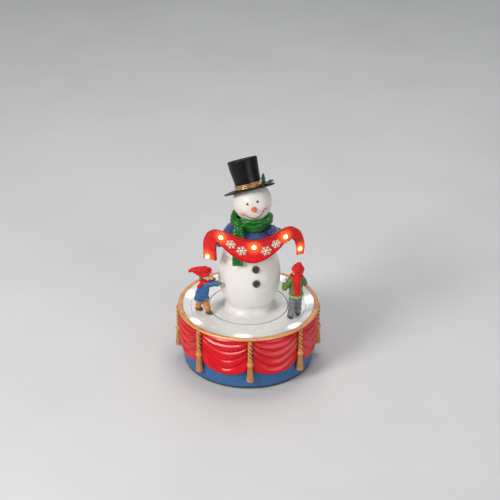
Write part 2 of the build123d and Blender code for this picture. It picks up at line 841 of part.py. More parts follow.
# Shoulder, wrist and the way that the hand points, for the -X and the +X arm
arms = (
    (above(-17, -5, 88.8), above(-28, -11.5, 81.3), (-0.62, -0.62, 0.48)),
    (above(20, -5, 90.8), above(37, -12, 86.8), (0.70, -0.62, 0.35)),
)


def sleeve(shoulder, wrist, toward):
    """Tapered sleeve that ends flat, square to the way its hand points."""
    sections = []
    axis = wrist - shoulder
    for centre, normal, radius in ((shoulder, axis, sleeve_radius), (wrist, toward, wrist_radius)):
        with BuildSketch(Plane(origin=centre, x_dir=(0, 1, 0), z_dir=normal)) as section:
            Circle(radius)
        sections.append(section.sketch.face())
    loft(sections)


with BuildPart() as jacket:
    with BuildSketch(Plane(origin=(body_x, 0, 0), x_dir=(1, 0, 0), z_dir=(0, -1, 0))):
        body_outline(jacket_thickness)
    revolve(axis=Axis((body_x, 0, 0), (0, 0, 1)))
    split(bisect_by=Plane.XY.offset(platform_height + jacket_hem), keep=Keep.TOP)
    split(bisect_by=Plane.XY.offset(neck_top - 3.0), keep=Keep.BOTTOM)
    for shoulder, wrist, toward in arms:
        sleeve(shoulder, wrist, toward)
    add(snowman_body.part, mode=Mode.SUBTRACT)
    lead_tube(lead_radius + lead_channel, Mode.SUBTRACT)
save(jacket, "jacket")

with BuildPart() as sleeve_cuffs:
    for shoulder, wrist, toward in arms:
        with BuildSketch(Plane(origin=wrist, x_dir=(0, 1, 0), z_dir=toward)):
            Circle(cuff_radius)
        extrude(amount=cuff_length)
save(sleeve_cuffs, "sleeve_cuffs")

with BuildPart() as mittens:
    for (shoulder, wrist, toward), grip in zip(arms, banner_grips):
        cuff_end = wrist + Vector(*toward).normalized() * cuff_length
        reach = banner_point(*grip)[0] - cuff_end
        with BuildSketch(Plane(origin=cuff_end, x_dir=(0, 1, 0), z_dir=toward)):
            Circle(mitten_radius)
        extrude(amount=reach.length, dir=reach)
    with Locations(above(banner_x, bend_axis_y, neck_height / 2)):
        Cylinder(banner_bend_radius - banner_thickness, neck_height * 2, mode=Mode.INTERSECT)
save(mittens, "mittens")

# Centre of each button's back, and how far it leans up, in degrees
button_places = ((above(7.8, -29.0, 58.2), 12.0), (above(8.4, -32.4, 43.4), 0.0))

with BuildPart() as coat_buttons:
    for place, lean in button_places:
        facing = Vector(place.X - body_x, place.Y, -place.Y * math.tan(math.radians(lean)))
        with BuildSketch(Plane(origin=place - facing.normalized() * button_sink, z_dir=facing)):
            Circle(button_radius)
        extrude(amount=button_sink + button_height)
    add(snowman_body.part, mode=Mode.SUBTRACT)
save(coat_buttons, "coat_buttons")

with BuildPart() as snowman_head:
    with Locations(head_centre):
        Sphere(head_radius)
    split(bisect_by=Plane.XY.offset(neck_top), keep=Keep.TOP)
    split(bisect_by=head_place.offset(hat_seat), keep=Keep.BOTTOM)
save(snowman_head, "snowman_head")

with BuildPart() as eyes:
    for side in (-1, 1):
        turn = math.radians(side * eye_angle)
        local = Vector(math.sin(turn), -math.cos(turn), 0) * head_radius
        with Locations(head_place.from_local_coords(local)):
            Sphere(eye_radius)
    add(snowman_head.part, mode=Mode.SUBTRACT)
save(eyes, "eyes")

with BuildPart() as carrot_nose:
    nose_foot = head_centre + Vector(1.5, 2.0 - head_radius, 0.4)
    nose_tip = head_centre + Vector(2.3, -head_radius - nose_length, 2.4)
    for end, radius in ((nose_foot, nose_radius), (nose_tip, nose_tip_radius)):
        with BuildSketch(Plane(origin=end, z_dir=(0.09, -1, 0))):
            Circle(radius)
    loft()
    add(snowman_head.part, mode=Mode.SUBTRACT)
save(carrot_nose, "carrot_nose")

brim_top = hat_seat + brim_thickness


def crown_radius(height):
    """Radius of the flared hat crown at a height above the brim."""
    return crown_foot_radius + (crown_top_radius - crown_foot_radius) * height / crown_height


with BuildPart() as top_hat:
    with BuildSketch(head_place.offset(hat_seat)):
        Circle(brim_radius)
    extrude(amount=brim_thickness)
    with BuildSketch(head_place.offset(brim_top)):
        Circle(crown_foot_radius)
    with BuildSketch(head_place.offset(brim_top + crown_height)):
        Circle(crown_top_radius)
    loft()
save(top_hat, "top_hat")

with BuildPart() as hat_band:
    for height in (band_lift, band_lift + band_height):
        with BuildSketch(head_place.offset(brim_top + height)):
            Circle(crown_radius(height) + band_thickness)
    loft()
    add(top_hat.part, mode=Mode.SUBTRACT)
save(hat_band, "hat_band")

with BuildPart() as holly_sprig:
    with BuildSketch(head_place.offset(brim_top)):
        for x, y, turn, length in ((19.0, -8.5, 70, 5.0), (19.4, 8.5, 110, 5.0), (23.0, 0.0, 0, 3.4)):
            with Locations(Location((x, y), turn)):
                Ellipse(length, length * 0.42)
    extrude(amount=leaf_thickness)
    for y in (-2 * berry_radius - berry_gap, 0.0, 2 * berry_radius + berry_gap):
        berry = Vector(berry_circle, y, brim_top + berry_radius)
        with Locations(head_place.from_local_coords(berry)):
            Sphere(berry_radius)
save(holly_sprig, "holly_sprig")

with BuildPart() as scarf_wrap:
    inner = neck_radius + abs(scarf_x - body_x) + part_gap * 0.5
    with BuildSketch(Plane(origin=(scarf_x, 0, 0), x_dir=(1, 0, 0), z_dir=(0, -1, 0))):
        with BuildLine():
            collar = Polyline(
                (scarf_radius - 3.0, neck_top - 4.4),
                (inner, neck_top - 2.7),
                (inner, neck_top + 2.0),
                (scarf_radius - 5.4, neck_top + 5.8),
                (scarf_radius - 2.8, neck_top + 7.0),
            )
            roll = ThreePointArc(collar @ 1, (scarf_radius, neck_top), (scarf_radius - 1.4, neck_top - 3.6))
            Line(roll @ 1, collar @ 0)
        make_face()
    revolve(axis=Axis((scarf_x, 0, 0), (0, 0, 1)))
save(scarf_wrap, "scarf_wrap")

with BuildPart() as scarf_tail:
    with BuildSketch(Plane(origin=above(tail_x - tail_width / 2, 0, 0), x_dir=(0, 1, 0), z_dir=(1, 0, 0))):
        with BuildLine():
            fall = ((-23.8, 105.8), (-26.2, 99.8), (-29.9, 90.8), (-30.8, 77.8), (-31.6, 63.8))
            front = Spline(*[(y - tail_thickness / 2, z) for y, z in fall])
            back = Spline(*[(y + tail_thickness / 2, z) for y, z in fall])
            Line(front @ 0, back @ 0)
            Line(front @ 1, back @ 1)
        make_face()
    extrude(amount=tail_width)
save(scarf_tail, "scarf_tail")

# ---------------------------------------------------------------- banner

# Outlines and lamps of the banner, as x and height above the platform
banner_upper = (
    (-46.8, 65.3), (-46.2, 85.3), (-36.0, 102.0), (-20.5, 101.8), (5.8, 96.0),
    (24.0, 100.3), (40.0, 107.6), (52.7, 99.8), (58.0, 79.8), (56.8, 70.8),
)
banner_lower = (
    (50.3, 71.8), (49.3, 84.4), (42.6, 93.3), (33.5, 86.1), (22.0, 76.8), (5.9, 70.6),
    (-10.4, 73.5), (-24.6, 83.6), (-31.6, 90.4), (-33.4, 80.8), (-33.0, 67.3),
)
banner_lamps = ((-42.0, 69.4), (-27.8, 96.2), (5.9, 89.0), (37.9, 97.6), (53.0, 78.8))

with BuildPart() as bent_sheet:
    with BuildSketch(Plane(above(banner_x, bend_axis_y, 40))):
        Circle(banner_bend_radius)
        Circle(banner_bend_radius - banner_thickness, mode=Mode.SUBTRACT)
    extrude(amount=90)

with BuildPart() as banner:
    with BuildSketch(Plane(origin=above(0, 0, 0), x_dir=(1, 0, 0), z_dir=(0, -1, 0))):
        with BuildLine():
            upper = Spline(*banner_upper)
            lower = Spline(*banner_lower)
            Line(upper @ 0, lower @ 1)
            Line(upper @ 1, lower @ 0)
        make_face()
    extrude(amount=60)
    add(bent_sheet.part, mode=Mode.INTERSECT)
    for x, height in banner_lamps:
        front, normal = banner_point(x, height)
        with BuildSketch(Plane(origin=front - normal * (banner_thickness + 1), z_dir=normal)):
            Circle(banner_led_radius + banner_led_gap)
        extrude(amount=banner_thickness + 2, mode=Mode.SUBTRACT)
save(banner, "banner")

with BuildPart() as banner_leds:
    for x, height in banner_lamps:
        front, normal = banner_point(x, height)
        with BuildSketch(Plane(origin=front - normal * banner_thickness, z_dir=normal)):
            Circle(banner_led_radius)
        extrude(amount=banner_thickness)
        with Locations(front):
            Sphere(banner_led_radius)
save(banner_leds, "banner_leds")

# ---------------------------------------------------------------- children on the turntable


def limbs(*shapes):
    """Tapered limbs, as start, end and the radius at each, with heights above the platform."""
    for start, end, start_radius, end_radius in shapes:
        limb(above(*start), above(*end), start_radius, end_radius)


def shoes(*toes):
    """One low rounded shoe for each pair of heel and toe."""
    for heel, toe in toes:
        limbs(((*heel, shoe_radius), (*toe, shoe_radius), shoe_radius, shoe_radius))


with BuildPart() as blue_child_shoes:
    shoes(((-53.5, -12.5), (-50.0, -13.5)), ((-42.5, -20.5), (-39.5, -21.5)))
save(blue_child_shoes, "blue_child_shoes")

with BuildPart() as blue_child_trousers:
    limbs(
        ((-48.5, -14.5, 18.8), (-52.5, -12.8, 5.3), 4.4, 3.0),
        ((-47.0, -17.5, 18.8), (-42.2, -20.0, 5.3), 4.4, 3.0),
    )
    add(blue_child_shoes.part, mode=Mode.SUBTRACT)
save(blue_child_trousers, "blue_child_trousers")

with BuildPart() as blue_child_coat:
    limbs(
        ((-48.5, -16.0, 21.3), (-45.5, -16.3, 33.8), 7.2, 5.6),
        ((-44.5, -20.0, 35.3), (-31.0, -24.0, 39.0), 3.2, 2.7),
        ((-44.5, -12.5, 35.3), (-36.5, -13.0, 37.5), 3.2, 2.7),
    )
    add(blue_child_trousers.part, mode=Mode.SUBTRACT)
save(blue_child_coat, "blue_child_coat")

with BuildPart() as blue_child_head:
    with Locations(above(-43.0, -16.5, 45.1)):
        Sphere(child_head_radius)
    add(blue_child_coat.part, mode=Mode.SUBTRACT)
save(blue_child_head, "blue_child_head")

with BuildPart() as blue_child_hat:
    limbs(
        ((-46.0, -16.3, 47.2), (-53.0, -16.0, 49.4), 7.6, 4.4),
        ((-53.0, -16.0, 49.4), (-62.0, -15.6, 50.6), 4.4, 1.4),
    )
    add(blue_child_head.part, mode=Mode.SUBTRACT)
    add(blue_child_coat.part, mode=Mode.SUBTRACT)
save(blue_child_hat, "blue_child_hat")

with BuildPart() as green_child_shoes:
    shoes(((44.2, -30.0), (42.6, -27.4)), ((52.4, -22.2), (50.6, -19.8)))
save(green_child_shoes, "green_child_shoes")

with BuildPart() as green_child_trousers:
    limbs(
        ((46.9, -27.6, 25.8), (44.4, -29.2, 5.8), 4.6, 3.4),
        ((51.6, -24.4, 25.8), (52.0, -22.0, 5.8), 4.6, 3.4),
    )
    add(green_child_shoes.part, mode=Mode.SUBTRACT)
save(green_child_trousers, "green_child_trousers")

with BuildPart() as green_child_coat:
    limbs(
        ((49.4, -26.0, 31.8), (49.2, -26.0, 44.8), 7.4, 6.2),
        ((43.6, -29.2, 45.8), (37.6, -30.0, 36.8), 3.4, 2.9),
        ((54.6, -22.6, 45.8), (58.8, -19.8, 37.3), 3.4, 2.9),
        ((37.6, -30.0, 36.8), (37.8, -25.0, 39.8), 2.9, 2.6),
    )
    add(green_child_trousers.part, mode=Mode.SUBTRACT)
save(green_child_coat, "green_child_coat")

with BuildPart() as green_child_head:
    with Locations(above(50.6, -25.7, 55.1)):
        Sphere(child_head_radius)
    add(green_child_coat.part, mode=Mode.SUBTRACT)
save(green_child_head, "green_child_head")

with BuildPart() as green_child_hat:
    limbs(
        ((51.6, -26.4, 56.6), (52.6, -26.8, 61.0), 6.9, 4.6),
        ((50.6, -32.4, 48.8), (50.4, -33.6, 33.8), 3.2, 3.4),
        ((50.6, -27.0, 49.2), (50.6, -32.4, 48.8), 4.2, 3.2),
    )
    add(green_child_head.part, mode=Mode.SUBTRACT)
    add(green_child_coat.part, mode=Mode.SUBTRACT)
save(green_child_hat, "green_child_hat")
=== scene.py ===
"""Looks of the animated snowman podium: pieces, materials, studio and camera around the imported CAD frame."""

import json
from math import atan2, copysign, cos, exp, hypot, pi, radians, sin, sqrt, tan

import bpy
from mathutils import Matrix, Vector, noise


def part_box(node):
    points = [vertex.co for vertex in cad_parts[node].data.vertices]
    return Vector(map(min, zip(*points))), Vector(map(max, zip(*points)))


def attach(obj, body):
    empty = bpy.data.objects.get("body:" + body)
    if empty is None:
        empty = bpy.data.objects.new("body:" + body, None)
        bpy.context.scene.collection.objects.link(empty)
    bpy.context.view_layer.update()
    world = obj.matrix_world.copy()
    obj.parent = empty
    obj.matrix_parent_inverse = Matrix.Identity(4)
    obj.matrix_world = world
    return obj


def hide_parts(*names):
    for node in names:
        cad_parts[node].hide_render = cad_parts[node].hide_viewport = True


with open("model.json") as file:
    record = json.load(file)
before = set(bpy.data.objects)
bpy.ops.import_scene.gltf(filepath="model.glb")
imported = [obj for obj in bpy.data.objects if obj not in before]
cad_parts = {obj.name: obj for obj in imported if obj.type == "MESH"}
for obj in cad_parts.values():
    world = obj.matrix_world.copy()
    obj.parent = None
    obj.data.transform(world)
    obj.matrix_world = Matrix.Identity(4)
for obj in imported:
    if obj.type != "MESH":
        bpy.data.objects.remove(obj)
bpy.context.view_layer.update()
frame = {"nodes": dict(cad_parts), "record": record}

MM = 0.001
FULL_TURN = 2 * pi
UP = Vector((0, 0, 1))


def node_box(node):
    """Lowest and highest corners of a CAD node, in millimetres."""
    low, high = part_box(node)
    return low / MM, high / MM


# ---------------------------------------------------------------- sizes from the frame, in millimetres

shell_low, shell_high = node_box("base_shell")
curtain_low, curtain_high = node_box("swag_curtain")
tassels_low, tassels_high = node_box("tassels")
body_low, body_high = node_box("snowman_body")
head_low, head_high = node_box("snowman_head")
disc_high = node_box("snow_disc")[1]

PLATFORM = disc_high.z
SEAM_RADIUS = disc_high.x + 0.35
DRUM_LOW, DRUM_TOP = shell_low.z, shell_high.z
DRUM_TOP_RADIUS = shell_high.x
DRUM_FOOT_RADIUS = DRUM_TOP_RADIUS - 2.0
CLOTH_TOP = DRUM_TOP - 0.05
CURTAIN_LOW = curtain_low.z
CURTAIN_THICKNESS = curtain_high.x - DRUM_TOP_RADIUS
TASSEL_CIRCLE = tassels_high.x - 3.95
TASSEL_LOW = tassels_low.z
BODY_CENTRE_X = (body_low.x + body_high.x) / 2
NECK_TOP = body_high.z
HEAD_RADIUS = (head_high.y - head_low.y) / 2
HEAD_SKIN = HEAD_RADIUS - 0.15
HEAD_CENTRE = Vector(((head_low.x + head_high.x) / 2, 0.0, NECK_TOP + HEAD_RADIUS - 1.2))
HEAD_TILT_BACK, HEAD_TILT_SIDE = radians(22), radians(14)
HEAD_PLACE = (Matrix.Translation(HEAD_CENTRE) @ Matrix.Rotation(-HEAD_TILT_BACK, 4, "X")
              @ Matrix.Rotation(-HEAD_TILT_SIDE, 4, "Y"))
HAT_SEAT = HEAD_RADIUS - 8.0
SWAGS = 8
SWAG_ANGLE = FULL_TURN / SWAGS
FRONT = -pi / 2
SWAG_START = FRONT + radians(1.5)


def above(point):
    """A point given by its height above the platform."""
    return Vector(point) + UP * PLATFORM


# ---------------------------------------------------------------- mesh helpers


def grid_faces(rows, columns, closed_rows=False):
    """Quads of a grid of vertices that closes round its columns."""
    faces = []
    for row in range(rows if closed_rows else rows - 1):
        below, beyond = row * columns, (row + 1) % rows * columns
        for column in range(columns):
            following = (column + 1) % columns
            faces.append((below + column, below + following, beyond + following, beyond + column))
    return faces


def sheet_faces(rows, columns, turned_over=False):
    """Faces of a thin closed sheet: a grid of vertices, the same grid behind it and the border between them."""
    behind = rows * columns
    faces = []
    for row in range(rows - 1):
        for column in range(columns - 1):
            a = row * columns + column
            faces.append((a, a + columns, a + columns + 1, a + 1))
            faces.append((behind + a, behind + a + 1, behind + a + columns + 1, behind + a + columns))
    border = [row * columns for row in range(rows)] + [(rows - 1) * columns + j for j in range(1, columns)]
    border += [row * columns + columns - 1 for row in range(rows - 2, -1, -1)] + list(range(columns - 2, 0, -1))
    faces += [(a, behind + a, behind + b, b) for a, b in zip(border, border[1:] + border[:1])]
    return [(first, *reversed(others)) for first, *others in faces] if turned_over else faces


def dress(piece, material):
    """Give a piece its material and smooth shading."""
    piece.data.materials.clear()
    piece.data.materials.append(materials[material])
    piece.data.polygons.foreach_set("use_smooth", [True] * len(piece.data.polygons))


def link(name, shape, material, body="root"):
    """New piece from millimetre vertices and their faces, riding on a body."""
    verts, faces = shape
    mesh = bpy.data.meshes.new(name)
    mesh.from_pydata([tuple(c * MM for c in v) for v in verts], [], faces)
    mesh.validate()
    mesh.update()
    piece = bpy.data.objects.new(name, mesh)
    bpy.context.scene.collection.objects.link(piece)
    dress(piece, material)
    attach(piece, body)
    return piece


def finish_piece(piece, slot, *nodes):
    """Hide the CAD nodes that a piece stands for; slot is not used."""
    if nodes:
        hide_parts(*nodes)


def add_piece(name, shape, material, slot, *nodes, body="root"):
    """New piece, hiding the CAD nodes it stands for; slot is not used."""
    finish_piece(link(name, shape, material, body), slot, *nodes)


def smooth_path(points, steps):
    """Catmull-Rom line through a list of equal-length tuples."""
    line = []
    last = len(points) - 1
    for i in range(last):
        before, start = points[max(i - 1, 0)], points[i]
        end, after = points[i + 1], points[min(i + 2, last)]
        for step in range(steps):
            t = step / steps
            line.append(tuple(
                0.5 * (2 * b + (c - a) * t + (2 * a - 5 * b + 4 * c - d) * t * t
                       + (3 * b - a - 3 * c + d) * t ** 3)
                for a, b, c, d in zip(before, start, end, after)
            ))
    line.append(tuple(points[-1]))
    return line


def turned(outline, segments, place, warp):
    """Vertices of (radius, height) points turned round the Z axis."""
    verts = []
    for radius, height in outline:
        for segment in range(segments):
            turn = FULL_TURN * segment / segments
            r, z = (radius, height) if warp is None else warp(radius, height, turn)
            verts.append(place @ Vector((r * cos(turn), r * sin(turn), z)))
    return verts


def lathe(profile, segments=64, place=Matrix.Identity(4), warp=None):
    """Vertices and faces of a turned solid whose (radius, height) profile starts and ends on its axis."""
    inner = profile[1:-1]
    verts, faces = turned(inner, segments, place, warp), grid_faces(len(inner), segments)
    for (_, height), ring in ((profile[0], 0), (profile[-1], (len(inner) - 1) * segments)):
        pole = len(verts)
        z = height if warp is None else warp(0.0, height, 0.0)[1]
        verts.append(place @ Vector((0, 0, z)))
        for segment in range(segments):
            pair = (ring + segment, ring + (segment + 1) % segments)
            faces.append((pole, pair[1], pair[0]) if ring == 0 else (pole, pair[0], pair[1]))
    return verts, faces


def tube(points, radii, segments=20, flat=1.0, round_ends=True):
    """Closed tube along points; flat squeezes its height."""
    points = [Vector(p) for p in points]
    if round_ends:
        points, radii = with_round_ends(points, list(radii))
    verts = []
    side = None
    for i, point in enumerate(points):
        ahead = points[min(i + 1, len(points) - 1)] - points[max(i - 1, 0)]
        ahead.normalize()
        if side is None:
            side = ahead.orthogonal().normalized()
        side = (side - ahead * side.dot(ahead)).normalized()
        other = ahead.cross(side)
        for segment in range(segments):
            turn = FULL_TURN * segment / segments
            offset = (side * cos(turn) + other * sin(turn)) * radii[i]
            offset -= UP * offset.z * (1 - flat)
            verts.append(point + offset)
    faces = grid_faces(len(points), segments)
    faces.append(tuple(reversed(range(segments))))
    start = (len(points) - 1) * segments
    faces.append(tuple(range(start, start + segments)))
    return verts, faces


def with_round_ends(points, radii, steps=5):
    """Add hemispherical ends to a tube's points and radii."""
    first_way = (points[0] - points[1]).normalized()
    last_way = (points[-1] - points[-2]).normalized()
    head, tail = [], []
    for step in range(1, steps + 1):
        angle = pi / 2 * step / steps * 0.97
        head.insert(0, (points[0] + first_way * radii[0] * sin(angle), radii[0] * cos(angle)))
        tail.append((points[-1] + last_way * radii[-1] * sin(angle), radii[-1] * cos(angle)))
    rows = head + list(zip(points, radii)) + tail
    return [p for p, _ in rows], [r for _, r in rows]


def hoop(place, across, deep, thick, steps, segments=10, wave=0.0, waves=0):
    """Closed roll of cloth round an axis, rising and falling by wave."""
    path = [place @ Vector((across * cos(t), deep * sin(t), wave * sin(waves * t)))
            for t in (FULL_TURN * i / steps for i in range(steps + 1))]
    return tube(path, [thick] * (steps + 1), segments, round_ends=False)


def ball(centre, size, segments=20):
    """Ellipsoid with the given half sizes."""
    size = Vector(size) if hasattr(size, "__len__") else Vector((size, size, size))
    turns = [pi * i / segments for i in range(segments + 1)]
    place = Matrix.Translation(Vector(centre)) @ Matrix.Diagonal((*size, 1))
    return lathe([(sin(turn), -cos(turn)) for turn in turns], segments, place)


def joined(parts):
    """One vertex and face list from several."""
    verts, faces = [], []
    for part_verts, part_faces in parts:
        start = len(verts)
        verts += part_verts
        faces += [tuple(start + i for i in face) for face in part_faces]
    return verts, faces


def settle(piece, material):
    """Keep the mesh that a piece's modifiers make, and dress it."""
    graph = bpy.context.evaluated_depsgraph_get()
    rough, cast = piece.data, bpy.data.meshes.new_from_object(piece.evaluated_get(graph))
    piece.modifiers.clear()
    piece.data = cast
    bpy.data.meshes.remove(rough)
    cast.name = piece.name
    dress(piece, material)


def moulded(name, parts, material, body, voxel, smoothing, surface):
    """Cast piece: overlapping parts fused by a voxel remesh and smoothed, with an optional surface relief."""
    piece = link(name, joined(parts), material, body)
    remesh = piece.modifiers.new("fuse", "REMESH")
    remesh.mode = "VOXEL"
    remesh.voxel_size = voxel * MM
    remesh.use_smooth_shade = True
    soften = piece.modifiers.new("soften", "SMOOTH")
    soften.iterations = smoothing
    soften.factor = 0.5
    settle(piece, material)
    if surface is not None:
        displace(piece, surface)
    return piece


def displace(piece, height):
    """Move each vertex along its normal by height(point in mm), also in mm."""
    mesh = piece.data
    normals = [v.normal.copy() for v in mesh.vertices]
    for vertex, normal in zip(mesh.vertices, normals):
        vertex.co += normal * height(vertex.co / MM) * MM
    mesh.update()


def lumps(scale, depth, seed=0.0):
    """Smooth random relief with features about scale wide and depth deep."""
    shift = Vector((seed, seed * 1.7, -seed))

    def height(point):
        return noise.noise(point / scale + shift) * depth

    return height


# ---------------------------------------------------------------- material helpers


class Nodes:
    """Short forms for building one material's node tree."""

    def __init__(self, name):
        self.material = bpy.data.materials.new(name)
        self.material.use_nodes = True
        self.tree = self.material.node_tree
        self.shader = self.tree.nodes["Principled BSDF"]
        self.coords = self.add("ShaderNodeTexCoord").outputs["Object"]

    def add(self, kind, **settings):
        node = self.tree.nodes.new(kind)
        for key, value in settings.items():
            setattr(node, key, value)
        return node

    def wire(self, output, target):
        """Link an output to a socket, or to the shader's input of that name."""
        self.tree.links.new(output, self.shader.inputs[target] if isinstance(target, str) else target)

    def fill(self, node, **values):
        """Numbers or colours on a node's own sockets; _ stands for a space in a socket's name."""
        for key, value in values.items():
            node.inputs[key.replace("_", " ")].default_value = value

    def math(self, operation, first, second=None):
        node = self.add("ShaderNodeMath", operation=operation)
        for socket, value in zip(node.inputs, (first, second)):
            if isinstance(value, (int, float)):
                socket.default_value = value
            elif value is not None:
                self.wire(value, socket)
        return node.outputs[0]

    def stretched(self, scale):
        """Coordinates scaled along each axis."""
        mapping = self.add("ShaderNodeMapping")
        self.fill(mapping, Scale=scale)
        self.wire(self.coords, mapping.inputs["Vector"])
        return mapping.outputs["Vector"]

    def noise(self, size_mm, detail=3.0, stretch=None):
        """Noise with features about size_mm wide."""
        node = self.add("ShaderNodeTexNoise")
        self.fill(node, Scale=1 / (size_mm * MM), Detail=detail)
        self.wire(self.stretched(stretch) if stretch else self.coords, node.inputs["Vector"])
        return node.outputs["Fac"]

    def relief(self, height, strength, **values):
        """Fine bumps on the surface."""
        bump = self.add("ShaderNodeBump")
        self.fill(bump, Strength=strength, **values)
        self.wire(height, bump.inputs["Height"])
        self.wire(bump.outputs["Normal"], "Normal")

    def ramp(self, source, stops):
        """Colour ramp; stops are (position, colour)."""
        node = self.add("ShaderNodeValToRGB")
        elements = node.color_ramp.elements
        while len(elements) < len(stops):
            elements.new(0.5)
        for element, (position, colour) in zip(elements, stops):
            element.position = position
            element.color = (*colour, 1)
        self.wire(source, node.inputs["Fac"])
        return node.outputs["Color"]

    def span(self, source, low, high, to_low=0.0, to_high=1.0):
        node = self.add("ShaderNodeMapRange")
        self.wire(source, node.inputs["Value"])
        for key, value in (("From Min", low), ("From Max", high), ("To Min", to_low), ("To Max", to_high)):
            node.inputs[key].default_value = value
        return node.outputs["Result"]

    def mix(self, factor, first, second, blend="MIX"):
        node = self.add("ShaderNodeMix", data_type="RGBA", blend_type=blend)
        for socket, value in ((node.inputs["Factor"], factor), (node.inputs[6], first), (node.inputs[7], second)):
            if isinstance(value, (int, float)):
                socket.default_value = value
            elif isinstance(value, tuple):
                socket.default_value = (*value, 1)
            else:
                self.wire(value, socket)
        return node.outputs[2]

    def near(self, places, reach_mm):
        """1 at the nearest of some places, fading to 0 at a distance."""
        total = None
        for place in places:
            away = self.add("ShaderNodeVectorMath", operation="DISTANCE")
            self.wire(self.coords, away.inputs[0])
            away.inputs[1].default_value = tuple(c * MM for c in place)
            here = self.span(away.outputs["Value"], 0.0, reach_mm * MM, 1.0, 0.0)
            here = self.math("POWER", here, 2.6)
            total = here if total is None else self.math("MAXIMUM", total, here)
        return total


def shade(colour, factor):
    """A colour made darker or lighter."""
    return tuple(min(1.0, c * factor) for c in colour)


def paint(name, colour, rough, patch, variation, grain, bump, painted_hollow_shade, edge,
          metal=0.0, coat=0.0, gloss=0.5, finish=None):
    """Painted or moulded surface: patchy colour, painted shade darkening the hollows, worn edges, uneven gloss and
    fine relief.
    """
    n = Nodes(name)
    patches = n.ramp(n.noise(patch, 4.0), [
        (0.30, shade(colour, 1 - variation)), (0.55, colour), (0.75, shade(colour, 1 + variation))])
    point = n.add("ShaderNodeNewGeometry").outputs["Pointiness"]
    # Painted shade: hollows, found by low pointiness, are darkened in the base colour.
    hollow = n.span(point, 0.47, 0.505, 1 - painted_hollow_shade, 1.0)
    toned = n.mix(1.0, patches, n.ramp(hollow, [(0.0, (0.0, 0.0, 0.0)), (1.0, (1.0, 1.0, 1.0))]), "MULTIPLY")
    worn = n.math("MULTIPLY", n.span(point, 0.515, 0.56, 0.0, edge), n.span(n.noise(1.6, 5.0), 0.4, 0.6))
    toned = n.mix(worn, toned, tuple(min(1.0, c * 0.6 + 0.35) for c in colour))
    # The finish hook lays on pink cheeks, painted lamp light or a painted gap shadow.
    if finish is not None:
        toned = finish(n, toned)
    n.wire(toned, "Base Color")
    n.wire(n.span(n.noise(patch * 0.5), 0.3, 0.7, rough * 0.8, rough * 1.25), "Roughness")
    n.relief(n.noise(grain), bump, Distance=0.3 * MM)
    n.fill(n.shader, Metallic=metal, Specular_IOR_Level=gloss, Coat_Weight=coat, Coat_Roughness=0.12)
    return n.material


def painted_lamp_glow(colour, places, reach_mm, strength, front_only=False):
    """Painted light: emission painted softly round the lamps set in a surface, standing in for their light falling on
    it; the surface itself is no lamp.
    """

    def finish(n, toned):
        # Painted light: emission strongest at each lamp, fading out over reach_mm.
        here = n.near(places, reach_mm)
        # Painted light kept to the front faces, where the lamps shine.
        if front_only:
            normal = n.add("ShaderNodeSeparateXYZ")
            n.wire(n.add("ShaderNodeTexCoord").outputs["Normal"], normal.inputs[0])
            here = n.math("MULTIPLY", here, n.span(normal.outputs["Y"], -0.35, 0.0, 1.0, 0.04))
        n.wire(n.mix(here, (0.0, 0.0, 0.0), colour), "Emission Color")
        n.fill(n.shader, Emission_Strength=strength)
        return toned

    return finish


def painted_gap_shadow(n, toned):
    """Painted shadow: a dark ring painted on the platform where the fixed disc meets the turntable, standing in for
    the shade in the narrow gap between them.
    """
    away = n.add("ShaderNodeVectorMath", operation="LENGTH")
    n.wire(n.stretched((1, 1, 0)), away.inputs[0])
    seam = n.math("ABSOLUTE", n.math("SUBTRACT", away.outputs["Value"], SEAM_RADIUS * MM))
    # Painted shadow: a dark brown ring, strongest within a quarter millimetre of the gap.
    return n.mix(n.span(seam, 0.25 * MM, 0.75 * MM, 0.88, 0.0), toned, (0.10, 0.075, 0.055))


def blushing(n, toned):
    """Pink cheeks at both ends of the smile."""
    for x in (-1, 1):
        cheek = HEAD_PLACE @ (Vector((x * 0.60, -0.64, -0.47)) * HEAD_RADIUS)
        toned = n.mix(n.math("MULTIPLY", n.near([cheek], 10.0), 0.75), toned, (0.78, 0.30, 0.22))
    return toned


def lamp(name, colour, core, strength):
    """Lit lamp dome: a bright core inside a tinted skin."""
    n = Nodes(name)
    facing = n.add("ShaderNodeLayerWeight").outputs["Facing"]
    uneven = n.span(n.noise(0.8), 0.3, 0.7, -0.06, 0.06)
    tone = n.ramp(n.math("ADD", facing, uneven), [(0.2, core), (0.85, colour)])
    n.wire(tone, "Base Color")
    n.wire(tone, "Emission Color")
    n.fill(n.shader, Emission_Strength=strength)
    n.wire(n.span(n.noise(0.5), 0.3, 0.7, 0.08, 0.2), "Roughness")
    return n.material


def metal_finish(name, colour, rough):
    """Bare metal with drawn lines."""
    n = Nodes(name)
    lines = n.noise(0.4, 2.0, (1, 1, 12))
    n.wire(n.ramp(lines, [(0.3, shade(colour, 0.8)), (0.7, colour)]), "Base Color")
    n.wire(n.span(lines, 0.3, 0.7, rough * 0.8, rough * 1.3), "Roughness")
    n.relief(lines, 0.08)
    n.fill(n.shader, Metallic=1.0)
    return n.material


# ---------------------------------------------------------------- lamps


